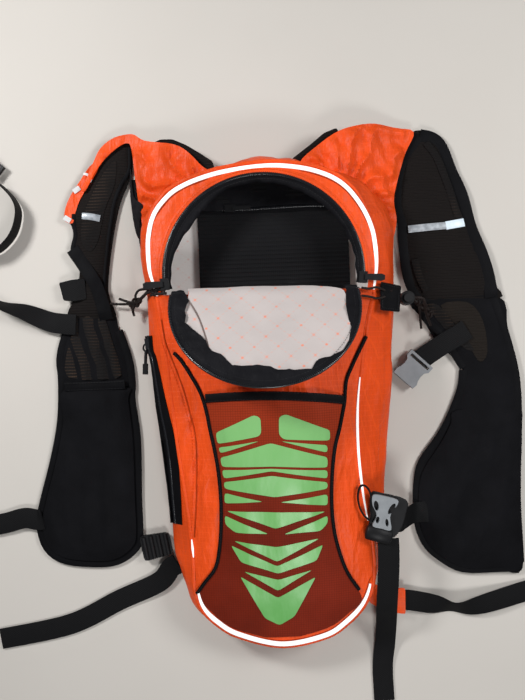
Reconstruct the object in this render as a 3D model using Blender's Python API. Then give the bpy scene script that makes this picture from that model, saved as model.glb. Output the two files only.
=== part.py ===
"""Ski backpack with a vest harness, lying on its back.

Millimetres in the constants, metres in the meshes.  +Z leaves the front of the bag,
+Y points to its top, the origin is the middle of the back panel's outer face.
"""
import math

import bmesh
import bpy
from mathutils import Matrix, Vector
from mathutils.bvhtree import BVHTree

MM = 0.001

# Widest outline of the side wall, from the top centre round the left, bottom and right.
WALL_OUTLINE = [
    (-5, 229), (-30, 225), (-60, 217), (-89, 205), (-108, 190), (-121, 164), (-122, 127),
    (-118, 99), (-118, 66), (-114, 6), (-109, -40), (-105, -86), (-103, -124), (-102, -147),
    (-95, -170), (-85, -189), (-70, -206), (-49, -221), (-5, -229), (39, -222), (62, -208),
    (77, -191), (87, -171), (92, -147), (93, -124), (95, -86), (99, -40), (104, 6),
    (108, 66), (109, 99), (112, 127), (111, 164), (98, 190), (79, 205), (50, 217), (20, 225),
]
# Seam between the side wall and the front panel, station by station.
RIM_OUTLINE = [
    (-5, 217.5), (-30, 215.5), (-55, 211), (-80, 202.5), (-97, 191), (-110.5, 168), (-112.5, 127),
    (-106, 100), (-102, 66), (-97, 6), (-93, -40), (-88, -86), (-85, -124), (-84, -147),
    (-84, -170), (-79, -188), (-66, -203), (-46, -216), (-5, -227), (36, -220), (57, -207),
    (73, -190), (81, -170), (82, -147), (80, -124), (74, -86), (70.5, -40), (72, 6),
    (81, 66), (88, 99), (91.5, 127), (87, 162), (74, 189), (59, 203), (38, 212), (15, 216.5),
]
SAMPLES = 96
BASE_SCALE = (0.955, 0.978)
BASE_SHIFT = 5.0
WIDEST_AT = 0.45
RIM_Z_TOP = 57.0
RIM_Z_BOTTOM = 30.0
RIM_SLOPE_FROM_Y = 95.0
RIM_SLOPE_TO_Y = -229.0

BACK_MESH_Z = (0.0, 3.0)
BACK_FOAM_Z = (3.3, 9.3)
BACK_LINING_Z = (9.6, 10.8)
WALL = 2.0
GAP = 0.35

# Main opening: an arc closed by the fold line of the flap.
OPEN_X, OPEN_Y = -10.0, 117.0
OPEN_R = 93.3
OPEN_Z = 60.0
PANEL_T = 2.0
FOLD_Y = 102.0
HINGE_Z = 64.0
COIL_R = 88.5
COIL_WIRE = 1.2
COIL_Z = 61.0
ARC = (-6.0, 186.0)
FLAP_R = 84.0
FLAP_REST_DEG = 148.0
SLIDER_ANGLES = {"left": 184.0, "right": -4.0}

POCKET_LEFT = [(-81, -173), (-62, -147), (-55, -102), (-56, -57), (-62, -20), (-66, 6)]
POCKET_RIGHT = [(70, -183), (53, -151), (43, -106), (45, -52), (53, -20), (58, 3)]
POCKET_BULGE = 10.0

WEB_W = 20.0
WEB_T = 1.5

LEFT_SHOULDER = [
    (-133, 262), (-155, 261), (-167, 247), (-175, 228), (-193, 192), (-196, 186), (-192, 166),
    (-195, 150), (-186, 137), (-191, 118), (-195, 104), (-197, 92), (-160, 92), (-162, 112),
    (-154, 160), (-145, 198), (-134, 225), (-133, 246),
]
LEFT_VEST = [
    (-197.5, 91), (-199, 80), (-205, 66), (-210, 47), (-209, 27), (-210, -11), (-219, -49),
    (-230, -87), (-235, -111), (-229, -135), (-211, -148), (-177, -152), (-158, -148),
    (-143, -137), (-139, -124), (-139, -90), (-139, -33), (-142, 6), (-141, 20), (-143, 44),
    (-152, 73), (-159.5, 91),
]
RIGHT_SHOULDER = [
    (139, 255), (155, 252), (169, 235), (177, 206), (190, 167), (204, 142), (212, 108),
    (215, 93), (134, 93), (130, 102), (123.5, 121), (122.5, 140), (121.5, 165), (121.5, 198),
    (126, 227),
]
RIGHT_VEST = [
    (215.5, 92), (225, 60), (233, 21), (236, -8), (234, -46), (230, -104), (231, -171),
    (207, -172), (173, -171), (150, -159), (136, -144), (129, -119), (130, -86), (136, -67),
    (154, -43), (164, -25), (177, 4), (180, 23), (168, 38), (157, 48), (144, 72), (135, 92),
]
LEFT_POCKET_TOP_Y = 18.0
RIGHT_POCKET_TOP_Y = -18.0

COLOURS = {
    "orange": (0.87, 0.08, 0.012), "black": (0.006, 0.006, 0.008), "mesh": (0.01, 0.01, 0.012),
    "lining": (0.5, 0.47, 0.44), "white": (0.85, 0.85, 0.83), "pocket": (0.12, 0.015, 0.006),
    "plastic": (0.02, 0.02, 0.022), "silver": (0.45, 0.45, 0.47), "metal": (0.3, 0.3, 0.32),
}


def clear_scene():
    for item in list(bpy.data.objects):
        bpy.data.objects.remove(item, do_unlink=True)


def material(name, colour, roughness=0.6):
    made = bpy.data.materials.new(name)
    made.use_nodes = True
    shader = made.node_tree.nodes["Principled BSDF"]
    shader.inputs["Base Color"].default_value = (*COLOURS[colour], 1.0)
    shader.inputs["Roughness"].default_value = roughness
    return made


def add(name, verts, faces, colour, origin=(0, 0, 0), frame=None):
    """A mesh object from millimetre points, its origin where its joint turns."""
    place = frame or Matrix()
    start = Vector(origin)
    points = [(place @ Vector(v) - start) * MM for v in verts]
    mesh = bpy.data.meshes.new(name)
    mesh.from_pydata(points, [], faces)
    work = bmesh.new()
    work.from_mesh(mesh)
    bmesh.ops.recalc_face_normals(work, faces=work.faces)
    work.to_mesh(mesh)
    work.free()
    made = bpy.data.objects.new(name, mesh)
    made.location = start * MM
    made.data.materials.append(material(name, colour))
    bpy.context.collection.objects.link(made)
    return made


def carve(made, cutters):
    """Subtract (verts, faces) solids, given in the same millimetre frame."""
    start = made.location / MM
    for number, (verts, faces) in enumerate(cutters):
        tool = add(made.name + "_tool", verts, faces, "metal", origin=start)
        cut = made.modifiers.new("cut", "BOOLEAN")
        cut.operation = "DIFFERENCE"
        cut.solver = "EXACT"
        cut.object = tool
        bpy.context.view_layer.update()
        graph = bpy.context.evaluated_depsgraph_get()
        result = bpy.data.meshes.new_from_object(made.evaluated_get(graph))
        made.modifiers.clear()
        made.data = result
        bpy.data.objects.remove(tool, do_unlink=True)
    return made


def box(low, high):
    (x0, y0, z0), (x1, y1, z1) = low, high
    verts = [(x, y, z) for z in (z0, z1) for y in (y0, y1) for x in (x0, x1)]
    faces = [(0, 2, 3, 1), (4, 5, 7, 6), (0, 1, 5, 4), (2, 6, 7, 3), (0, 4, 6, 2), (1, 3, 7, 5)]
    return verts, faces


def prism(outline, low, high):
    count = len(outline)
    verts = [(x, y, low) for x, y in outline] + [(x, y, high) for x, y in outline]
    sides = [(i, (i + 1) % count, count + (i + 1) % count, count + i) for i in range(count)]
    caps = [tuple(reversed(range(count))), tuple(range(count, 2 * count))]
    return verts, sides + caps


def loft(rings, closed_rings=True, closed_path=False, caps=True):
    """Quads between rings of equal length."""
    size = len(rings[0])
    verts = [p for ring in rings for p in ring]
    faces = []
    steps = len(rings) if closed_path else len(rings) - 1
    for r in range(steps):
        a, b = r * size, ((r + 1) % len(rings)) * size
        for i in range(size if closed_rings else size - 1):
            j = (i + 1) % size
            faces.append((a + i, a + j, b + j, b + i))
    if caps and not closed_path:
        faces.append(tuple(range(size)))
        faces.append(tuple(len(verts) - size + i for i in range(size)))
    return verts, faces


def spline(points, steps=6, closed=False):
    """Catmull-Rom points through the given ones."""
    pts = [Vector(p) for p in points]
    count = len(pts)
    out = []
    for i in range(count if closed else count - 1):
        if closed:
            a, b, c, d = (pts[(i + k) % count] for k in (-1, 0, 1, 2))
        else:
            a, b, c, d = (pts[min(max(i + k, 0), count - 1)] for k in (-1, 0, 1, 2))
        for s in range(steps):
            t = s / steps
            out.append(0.5 * ((2 * b) + (c - a) * t + (2 * a - 5 * b + 4 * c - d) * t ** 2
                              + (3 * b - 3 * c + d - a) * t ** 3))
    if not closed:
        out.append(pts[-1])
    return out


def tangents(path, closed=False):
    count = len(path)
    out = []
    for i in range(count):
        before = path[(i - 1) % count] if closed else path[max(i - 1, 0)]
        after = path[(i + 1) % count] if closed else path[min(i + 1, count - 1)]
        out.append((after - before).normalized())
    return out


def ribbon(path, width, thick, side=None, turns=None):
    """Flat webbing along a path; turns gives a roll in degrees at each point."""
    path = [Vector(p) for p in path]
    rings = []
    for i, (p, t) in enumerate(zip(path, tangents(path))):
        across = Vector(side) if side else t.cross(Vector((0, 0, 1))).normalized()
        across = (across - t * across.dot(t)).normalized()
        if turns:
            across = Matrix.Rotation(math.radians(turns[i]), 3, t) @ across
        up = across.cross(t).normalized()
        w, h = across * width / 2, up * thick / 2
        rings.append([p - w - h, p + w - h, p + w + h, p - w + h])
    return loft(rings)


def tube(path, radius, sides=8, closed=False):
    path = [Vector(p) for p in path]
    rings = []
    for p, t in zip(path, tangents(path, closed)):
        across = t.cross(Vector((0, 0, 1)))
        across = across.normalized() if across.length > 1e-3 else Vector((1, 0, 0))
        up = across.cross(t)
        rings.append([p + (across * math.cos(a) + up * math.sin(a)) * radius
                      for a in (2 * math.pi * k / sides for k in range(sides))])
    return loft(rings, closed_path=closed)


def cylinder(centre, radius, low, high, sides=20):
    outline = [(centre[0] + radius * math.cos(2 * math.pi * k / sides),
                centre[1] + radius * math.sin(2 * math.pi * k / sides)) for k in range(sides)]
    return prism(outline, low, high)


def cord(name, points, radius, colour, steps=4):
    """A free cord: a round tube on a poly line."""
    curve = bpy.data.curves.new(name, "CURVE")
    curve.dimensions = "3D"
    curve.bevel_depth = radius * MM
    curve.bevel_resolution = 2
    curve.use_fill_caps = True
    curve.render_resolution_u = 0
    line = curve.splines.new("POLY")
    path = spline(points, steps)
    line.points.add(len(path) - 1)
    for slot, p in zip(line.points, path):
        slot.co = (*(p * MM), 1.0)
    made = bpy.data.objects.new(name, curve)
    made.data.materials.append(material(name, colour))
    bpy.context.collection.objects.link(made)
    return made


def rim_z(y):
    if y >= RIM_SLOPE_FROM_Y:
        return RIM_Z_TOP
    share = (RIM_SLOPE_FROM_Y - y) / (RIM_SLOPE_FROM_Y - RIM_SLOPE_TO_Y)
    return RIM_Z_TOP + (RIM_Z_BOTTOM - RIM_Z_TOP) * min(share, 1.02)


def resample(ring, count):
    """Points at equal distances along a closed ring, and each one's place in it."""
    lengths = [0.0]
    total = len(ring)
    for i in range(total):
        lengths.append(lengths[-1] + (ring[(i + 1) % total] - ring[i]).length)
    places = []
    at = 0
    for k in range(count):
        goal = lengths[-1] * k / count
        while lengths[at + 1] < goal:
            at += 1
        places.append(at + (goal - lengths[at]) / (lengths[at + 1] - lengths[at]))
    return places


def pick(ring, place):
    low = int(place)
    share = place - low
    return ring[low % len(ring)].lerp(ring[(low + 1) % len(ring)], share)


def inward(ring, distance):
    """A ring moved in by a distance, for rings that run anticlockwise."""
    out = []
    for p, t in zip(ring, tangents(ring, True)):
        flat = Vector((t.x, t.y, 0)).normalized()
        out.append(p + Vector((-flat.y, flat.x, 0)) * distance)
    return out


def dense(outline):
    return spline([(x, y, 0) for x, y in outline], 12, closed=True)


WIDE = dense(WALL_OUTLINE)
RIM = dense(RIM_OUTLINE)
PLACES = resample(WIDE, SAMPLES)
WIDE_RING = [pick(WIDE, p) for p in PLACES]
RIM_RING = [pick(RIM, p) for p in PLACES]
BASE_RING = [Vector(((p.x + BASE_SHIFT) * BASE_SCALE[0], p.y * BASE_SCALE[1], 0)) for p in WIDE_RING]


def wall_point(base, wide, rim, share):
    """One station of the bulging side wall, 0 at the back and 1 at the rim."""
    w0 = (share - WIDEST_AT) * (share - 1) / WIDEST_AT
    w1 = share * (share - 1) / (WIDEST_AT * (WIDEST_AT - 1))
    w2 = share * (share - WIDEST_AT) / (1 - WIDEST_AT)
    p = base * w0 + wide * w1 + rim * w2
    p.z = BACK_FOAM_Z[0] + (rim_z(rim.y) - BACK_FOAM_Z[0]) * share
    return p


def wall_ring(share, inset, floor=BACK_FOAM_Z[0], top=1.0):
    """A level of the side wall between a floor height and a top share, moved in."""
    ring = []
    for base, wide, rim in zip(BASE_RING, WIDE_RING, RIM_RING):
        start = (floor - BACK_FOAM_Z[0]) / (rim_z(rim.y) - BACK_FOAM_Z[0])
        ring.append(wall_point(base, wide, rim, start + (top - start) * share))
    return inward(ring, inset) if inset else ring


def build_back():
    plate = [(p.x, p.y) for p in inward(BASE_RING, 0.0)]
    inner = [(p.x, p.y) for p in inward(BASE_RING, WALL + 0.8)]
    add("back_mesh", *prism(plate, *BACK_MESH_Z), "mesh")
    add("back_foam", *prism(inner, *BACK_FOAM_Z), "black")
    add("back_lining", *prism(inner, *BACK_LINING_Z), "lining")


def build_wall():
    shares = (0.0, 0.2, 0.45, 0.7, 1.0)
    outer = [wall_ring(s, 0.0) for s in shares]
    inner = [wall_ring(s, WALL) for s in reversed(shares)]
    add("side_wall", *loft(outer + inner, closed_path=True), "orange")
    shares = (0.0, 0.35, 0.65, 1.0)
    floor = BACK_LINING_Z[1] + GAP
    outer = [wall_ring(s, WALL + 1.4, floor, 0.96) for s in shares]
    inner = [wall_ring(s, WALL + 2.4, floor, 0.96) for s in reversed(shares)]
    add("wall_lining", *loft(outer + inner, closed_path=True), "lining")


def opening_point(angle):
    """Where a ray from the middle of the opening meets its edge."""
    c, s = math.cos(angle), math.sin(angle)
    reach = OPEN_R
    edge = FOLD_Y - 1.0
    if s < 0:
        reach = min(reach, (edge - OPEN_Y) / s)
    return Vector((OPEN_X + reach * c, OPEN_Y + reach * s, OPEN_Z))


def ray_to_ring(ring, angle):
    c, s = math.cos(angle), math.sin(angle)
    for i, p in enumerate(ring):
        q = ring[(i + 1) % len(ring)]
        a = (p.x - OPEN_X) * s - (p.y - OPEN_Y) * c
        b = (q.x - OPEN_X) * s - (q.y - OPEN_Y) * c
        if a * b <= 0 and a != b:
            hit = p.lerp(q, a / (a - b))
            if (hit.x - OPEN_X) * c + (hit.y - OPEN_Y) * s > 0:
                return hit
    return None


def panel_rings():
    """Underside rings of the front panel, from the rim to the opening."""
    edge = inward(RIM, 2.1)
    corner = math.asin((FOLD_Y - 1.0 - OPEN_Y) / OPEN_R)
    angles = [math.atan2(p.y - OPEN_Y, p.x - OPEN_X) for p in RIM_RING]
    for exact in (corner, math.pi - corner - 2 * math.pi):
        gaps = [abs(math.atan2(math.sin(a - exact), math.cos(a - exact))) for a in angles]
        angles[gaps.index(min(gaps))] = exact
    rings = []
    for share in (0.0, 0.12, 0.3, 0.5, 0.7, 0.88, 1.0):
        ring = []
        for a in angles:
            out = ray_to_ring(edge, a)
            low = Vector((out.x, out.y, rim_z(out.y) + GAP))
            high = opening_point(a)
            p = low.lerp(high, share)
            p.z += 0.035 * (high - low).length * 4 * share * (1 - share)
            ring.append(p)
        rings.append(ring)
    return rings


def build_front():
    under = panel_rings()
    over = [[p + Vector((0, 0, PANEL_T)) for p in ring] for ring in under]
    made = add("front_panel", *loft(under + over[::-1], closed_path=True), "orange")
    work = bmesh.new()
    work.from_mesh(made.data)
    tree = BVHTree.FromBMesh(work)
    work.free()

    def height(x, y):
        hit = tree.ray_cast(Vector((x, y, 200)) * MM, Vector((0, 0, -1)))
        return hit[0].z / MM if hit[0] else rim_z(y) + GAP + PANEL_T

    bead = [p + Vector((0, 0, rim_z(p.y) + GAP + 1.6)) for p in RIM_RING]
    add("piping", *tube(bead, 1.6, 6, closed=True), "white")
    return height


def between(points, y):
    for (x0, y0), (x1, y1) in zip(points, points[1:]):
        if y0 <= y <= y1:
            return x0 + (x1 - x0) * (y - y0) / (y1 - y0)
    return points[0][0] if y < points[0][1] else points[-1][0]


def build_pocket(height):
    """Bulging front pocket, open along its top hem."""
    rows = 14
    cols = 12
    left_x = [(-26, -214), (-62, -198)] + POCKET_LEFT
    right_x = [(18, -214), (50, -200)] + POCKET_RIGHT
    top, under = [], []
    for r in range(rows + 1):
        y = -214 + (6 + 214) * r / rows
        x0, x1 = between(left_x, y), between(right_x, y)
        full = math.sin(math.pi * min(r / rows * 0.72, 1.0))
        line_top, line_under = [], []
        for c in range(cols + 1):
            share = c / cols
            x = x0 + (x1 - x0) * share
            bulge = POCKET_BULGE * full ** 0.6 * (1 - abs(2 * share - 1) ** 3)
            z = height(x, y) + 0.45 + bulge
            line_under.append((x, y, z))
            line_top.append((x, y, z + 0.9))
        top.append(line_top)
        under.append(line_under)
    rings = [t + u[::-1] for t, u in zip(top, under)]
    add("front_pocket", *loft(rings), "pocket")

    last = top[-1]
    hem = [Vector((x, y + 4.2, z)) for x, y, z in last]
    add("pocket_hem", *ribbon(hem, 7.0, 1.6, side=(0, 1, 0)), "black")
    for side, points, shift in (("left", POCKET_LEFT, -5.2), ("right", POCKET_RIGHT, 5.2)):
        ends = [(-84, 25), (-97, 52)] if side == "left" else [(68, 28), (74, 48)]
        path = [(between(points, y) + shift, y) for y in range(-168, 8, 11)] + ends
        high = [Vector((x, y, max(height(x + d, y) for d in (-2.4, 0, 2.4)) + 1.1)) for x, y in path]
        add("binding_" + side, *ribbon(high, 4.5, 1.2), "black")


def arc_solid(profile, angles, centre, low_steps=40):
    """Sweep a (radius, z) profile about a vertical line."""
    rings = []
    for k in range(low_steps + 1):
        a = math.radians(angles[0] + (angles[1] - angles[0]) * k / low_steps)
        rings.append([(centre[0] + r * math.cos(a), centre[1] + r * math.sin(a), z)
                      for r, z in profile])
    return loft(rings)


def build_main_zip():
    centre = (OPEN_X, OPEN_Y)
    inner, outer = COIL_R + COIL_WIRE + 0.3, OPEN_R - 0.35
    tape = [(inner, COIL_Z - 0.4), (outer, COIL_Z - 0.4), (outer, COIL_Z + 0.4), (inner, COIL_Z + 0.4)]
    add("main_zip_tape", *arc_solid(tape, ARC, centre), "black")
    wire = [(COIL_R + COIL_WIRE * math.cos(a), COIL_Z + COIL_WIRE * math.sin(a))
            for a in (math.pi * k / 3 for k in range(6))]
    add("main_zip_coil", *arc_solid(wire, ARC, centre), "black")


def build_flap():
    """Built shut in its own frame, then turned about the fold line to its open rest."""
    origin = (OPEN_X, FOLD_Y, HINGE_Z)
    turn = Matrix.Rotation(math.radians(FLAP_REST_DEG), 4, "X")
    frame = Matrix.Translation(origin) @ turn
    middle = OPEN_Y - FOLD_Y

    def disc(radius):
        start = -math.asin((middle - 2.5) / radius)
        end = math.pi - start
        return [(radius * math.cos(a), middle + radius * math.sin(a))
                for a in (start + (end - start) * k / 40 for k in range(41))]

    add("flap_shell", *prism(disc(FLAP_R - 5.8), 0.25, 1.75), "orange", origin, frame)
    add("flap_lining", *prism(disc(FLAP_R - 6.4), -1.3, -0.1), "lining", origin, frame)
    low, high = FLAP_R - 5.4, FLAP_R
    edge = FLAP_R - 2.4
    profile = [(low, -0.4), (edge, -0.4), (edge, -1.2), (high, -1.2), (high, 1.2), (edge, 1.2),
               (edge, 0.4), (low, 0.4)]
    start = math.degrees(math.asin((middle - 2.5) / high))
    tape = arc_solid(profile, (-start, 180 + start), (0, middle))
    add("flap_zip_tape", *tape, "black", origin, frame)


def polar_frame(angle):
    """Local x outwards, y along the zip, z up, at the coil."""
    a = math.radians(angle)
    return Matrix.Translation((OPEN_X + COIL_R * math.cos(a), OPEN_Y + COIL_R * math.sin(a), COIL_Z)) \
        @ Matrix.Rotation(a, 4, "Z")


def build_main_sliders():
    for side, angle in SLIDER_ANGLES.items():
        frame = polar_frame(angle)
        body = [(-3.7, -3.2), (3.6, -3.2), (3.6, -1.6), (-1.9, -1.6), (-1.9, 1.6), (3.6, 1.6),
                (3.6, 3.2), (-3.7, 3.2)]
        rings = [[(x, y, z) for x, z in body] for y in (-5.0, 5.0)]
        add("main_slider_" + side, *loft(rings), "metal", (OPEN_X, OPEN_Y, COIL_Z), frame)
        pivot = frame @ Vector((2.0, 0, 4.3))
        tab = [(1.4, -2.5), (1.4, 2.5), (16, 3.2), (19, 2.0), (19, -2.0), (16, -3.2)]
        add("main_pull_" + side, *prism(tab, 3.7, 4.9), "plastic", tuple(pivot), frame)


def build_side_zip(height_x):
    """Zip on the left wall, in line with the wall's straight run."""
    path = [Vector((height_x(y) - 1.4, y, 24)) for y in (66, 40, 20, 0, -20, -40, -60, -80, -95, -109)]
    add("side_zip_tape", *ribbon(path, 10.0, 1.0, side=(0, 0, 1)), "black")
    top, bottom = path[0], path[-1]
    along = (bottom - top).normalized()
    angle = math.atan2(along.y, along.x)
    frame = Matrix.Translation(top + along * 7) @ Matrix.Rotation(angle, 4, "Z")
    slider = box((-5, -4.6, -4.2), (5, -1.8, 4.2))
    origin = frame @ Vector((0, -1.8, 0))
    add("side_slider", *slider, "metal", tuple(origin), frame)
    pivot = frame @ Vector((2.0, -5.6, 0))
    pull = box((0.5, -6.2, -2.2), (30, -5.0, 2.2))
    add("side_pull", *pull, "plastic", tuple(pivot), frame)


def tray(name, outline, low, high, wall, mouth, colour):
    """A shallow pocket: three side walls and a sheet, open at the mouth and the back."""
    made = add(name, *prism(outline, low, high), colour)
    ring = [Vector((x, y, 0)) for x, y in outline]
    inner = [(p.x, p.y) for p in inward(ring, wall)]
    cutters = [prism(inner, low - 2, high - 1.2), mouth]
    return carve(made, cutters)


def build_inner_pocket():
    outline = [(-68, 193), (-68, 108), (-62, 104), (64, 104), (70, 108), (70, 193)]
    mouth = box((-66.5, 190, 9), (68.5, 195, 15.8))
    tray("inner_pocket", outline, 11.2, 17.0, 1.2, mouth, "mesh")
    path = [(-64, 184, 17.8), (66, 184, 17.8)]
    add("inner_zip_tape", *ribbon(path, 9.0, 0.8), "black")
    add("inner_slider", *box((-44.5, 180.5, 18.6), (-34.5, 187.5, 20.8)), "metal", (-39.5, 184, 18.6))
    tab = box((-37.0, 182.2, 21.2), (-20.0, 185.8, 22.2))
    add("inner_pull", *tab, "plastic", (-36.4, 184, 21.7))


def build_yokes():
    left = [(-62, 221), (-91, 209.5), (-111, 194.5), (-124, 169), (-128.5, 169), (-128.5, 256),
            (-120, 257), (-85, 252), (-70, 240)]
    right = [(53, 221), (82, 209.5), (102, 194.5), (114.5, 169), (118.5, 169), (118.5, 252),
             (100, 259), (71, 253), (58, 240)]
    for side, outline in (("left", left), ("right", right)):
        add("yoke_" + side, *prism(outline, 2.0, 8.0), "mesh")
    tab = [(-103.4, -143), (-105.0, -143), (-105.0, -164), (-101.5, -164)]
    add("anchor_left", *prism(tab, 5.0, 8.0), "black")
    tab = [(90, -172), (116, -188), (116, -207), (80, -194.5)]
    add("anchor_right", *prism(tab, 4.0, 8.0), "orange")


def buckle_frame(x, y, z, degrees):
    return Matrix.Translation((x, y, z)) @ Matrix.Rotation(math.radians(degrees), 4, "Z")


def placed(solid, frame):
    verts, faces = solid
    return [tuple(frame @ Vector(v)) for v in verts], faces


def female_buckle(name, x, y, z, degrees):
    """Waisted housing, its strap bar at the origin end and its mouth at the far end."""
    frame = buckle_frame(x, y, z, degrees)
    outline = [(0.4, -13.5), (7, -13.5), (10, -10.8), (14.5, -10.2), (19.5, -11), (23, -12.6), (28, -12),
               (28, 12), (23, 12.6), (19.5, 11), (14.5, 10.2), (10, 10.8), (7, 13.5), (0.4, 13.5)]
    made = add(name, *prism(outline, 0, 8.4), "plastic", (x, y, z), frame)
    hollow = placed(box((10.5, -7.6, 1.7), (40, 7.6, 6.7)), frame)
    slot = placed(box((2.8, -11, -2), (5.8, 11, 10)), frame)
    return carve(made, [hollow, slot])


def male_buckle(name, x, y, z, degrees):
    """Ladder end at the origin and two prongs at the far end."""
    frame = buckle_frame(x, y, z, degrees)
    outline = [(0.4, -12.5), (20, -12.5), (22, -11), (31, -9.5), (38, -6.8), (38, -4.6), (29, -6),
               (22, -6), (21, -3), (21, 3), (22, 6), (29, 6), (38, 4.6), (38, 6.8), (31, 9.5),
               (22, 11), (20, 12.5), (0.4, 12.5)]
    made = add(name, *prism(outline, 0, 5.0), "plastic", (x, y, z), frame)
    slots = [placed(box((a, -10.4, -2), (a + 3.0, 10.4, 8)), frame) for a in (3.0, 9.5)]
    return carve(made, slots)


def ladder_lock(name, x, y, z, degrees):
    frame = buckle_frame(x, y, z, degrees)
    outline = [(0.4, -12.5), (26, -12.5), (29, -10), (29, 10), (26, 12.5), (0.4, 12.5)]
    made = add(name, *prism(outline, 0, 4.5), "plastic", (x, y, z), frame)
    slots = [placed(box((a, -10.4, -2), (a + 3.2, 10.4, 8)), frame) for a in (5.0, 12.0, 19.5)]
    return carve(made, slots)


def build_lower_straps():
    path = spline([(-109.5, -158, 3), (-122, -172, 3), (-160, -188, 1.5), (-209, -210, 1.2),
                   (-277, -222, 1.2)], 4)
    add("lower_strap_left", *ribbon(path, WEB_W, WEB_T), "black")
    ladder_lock("ladder_lock_left", -137, -138.5, 3.2, 10)
    path = spline([(120, -199, 5), (149, -205, 2), (178, -203, 1.2), (231, -192, 1.2),
                   (250, -190, 1.2)], 4)
    add("lower_strap_right", *ribbon(path, WEB_W, WEB_T), "black")
    ladder_lock("ladder_lock_right", 252, -190, 0.2, 5)


def build_wing_left():
    add("shoulder_left", *prism(LEFT_SHOULDER, 0.0, 5.0), "mesh")
    add("vest_left", *prism(LEFT_VEST, 0.0, 3.0), "mesh")
    lower = [(x, y) for x, y in LEFT_VEST if y < LEFT_POCKET_TOP_Y]
    outline = [(-209.5, LEFT_POCKET_TOP_Y)] + lower + [(-141.5, LEFT_POCKET_TOP_Y)]
    mouth = box((-207.5, 10, 1), (-143.5, 24, 9.1))
    tray("vest_pocket_left", outline, 3.3, 10.3, 1.6, mouth, "black")
    keeper = [(-205, 121), (-179, 124), (-177, 106), (-201, 104)]
    add("keeper_left", *prism(keeper, 5.4, 7.0), "black")
    band = [(-193, 187), (-176, 194), (-173, 187), (-190, 180)]
    add("reflector_left", *prism(band, 5.4, 6.2), "silver")
    path = spline([(-203, 81, 5.8), (-218, 84, 5.8), (-241, 94, 6), (-262, 101, 9), (-281, 114, 12),
                   (-288, 133, 12), (-280, 148, 12), (-263, 153, 12), (-248, 168, 12),
                   (-242, 188, 12), (-246, 202, 12), (-258, 216, 12)], 3)
    turns = [min(90.0, max(0.0, (i - 4) * 18.0)) for i in range(len(path))]
    origin = (-203, 81, 5.8)
    verts, faces = ribbon(path, WEB_W, WEB_T, turns=turns)
    add("chest_strap_left", verts, faces, "black", origin)
    male_buckle("chest_buckle_male", -263, 224, 4.0, 140)
    path = spline([(-236.5, -107, 4), (-249, -105, 4), (-266, -109, 3), (-284, -112, 3)], 3)
    add("waist_strap_left", *ribbon(path, WEB_W, WEB_T), "black", (-236.5, -107, 4))
    female_buckle("waist_buckle_female", -285, -112.3, 1.0, 189)


def build_wing_right():
    add("shoulder_right", *prism(RIGHT_SHOULDER, 0.0, 5.0), "mesh")
    add("vest_right", *prism(RIGHT_VEST, 0.0, 3.0), "mesh")
    lower = [(x, y) for x, y in RIGHT_VEST if y < RIGHT_POCKET_TOP_Y]
    outline = lower + [(167, RIGHT_POCKET_TOP_Y), (235, RIGHT_POCKET_TOP_Y)]
    mouth = box((169, -26, 1), (232.5, -12, 9.1))
    tray("vest_pocket_right", outline[::-1], 3.3, 10.3, 1.6, mouth, "black")
    band = [(131, 157), (183, 161), (183, 167), (130.5, 163)]
    add("reflector_right", *prism(band, 5.4, 6.2), "silver")
    path = spline([(174, 56, 7), (163, 50, 7), (143.2, 37.7, 7)], 3)
    add("chest_strap_right", *ribbon(path, WEB_W, WEB_T), "black", (172, 55, 7))
    female_buckle("chest_buckle_female", 139.5, 35.5, 3.4, 226.5)
    male_buckle("waist_buckle_male", 84.4, -129.7, 48.0, 72)
    path = spline([(90, -138, 47), (96, -150, 38), (99, -168, 25), (101, -188, 13.5),
                   (101, -208, 11.5), (99, -234, 3), (92, -257, 1.2), (92, -295, 1.2)], 3)
    add("waist_strap_tail", *ribbon(path, WEB_W, WEB_T), "black")
    path = spline([(126.5, -104, 6), (117, -107, 22), (111, -110, 43)], 3)
    add("waist_web_stub", *ribbon(path, 18, WEB_T, side=(0.3, 1, 0)), "black")


def build_cords(wall_x):
    """Bungee loops at both top corners and the cord lock on the right one."""
    x = wall_x(92, 46)
    frame = Matrix.Translation((x + 4.6, 92, 46)) @ Matrix.Rotation(math.radians(56), 4, "Y")
    add("cord_patch", *box((-11, -13, -0.6), (11, 13, 0.6)), "black", frame=frame)
    path = [(x + 7, 99, 50), (x + 10, 96, 46), (112, 92, 40), (114, 92, 38.5), (134, 92, 38.5),
            (139, 86, 33), (142, 78, 22), (148, 67, 12)]
    cord("bungee_right", path, 1.3, "plastic", 3)
    path = [(-115, 106, 52), (-124, 101, 36), (-129, 109, 24), (-137, 100, 12), (-149, 102, 9),
            (-158, 106, 9)]
    cord("bungee_left", path, 1.3, "plastic", 4)
    centre = (121.0, 92.0)
    origin = (*centre, 38.5)
    cross = tube([(100, 92, 38.5), (145, 92, 38.5)], 2.3, 12)
    body = add("cord_lock_barrel", *cylinder(centre, 6.5, 31.0, 44.0), "plastic", origin)
    carve(body, [cylinder(centre, 4.4, 32.5, 50), cross])
    button = add("cord_lock_button", *cylinder(centre, 4.0, 35.2, 48.0), "plastic", origin)
    carve(button, [box((110, 89.8, 36.2), (132, 94.2, 44.0))])
    turns = [(centre[0] + 3 * math.cos(a), centre[1] + 3 * math.sin(a), 33.2 + 1.5 * a / (6 * math.pi))
             for a in (6 * math.pi * k / 36 for k in range(37))]
    add("cord_lock_spring", *tube(turns, 0.22, 6), "metal", origin)


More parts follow.
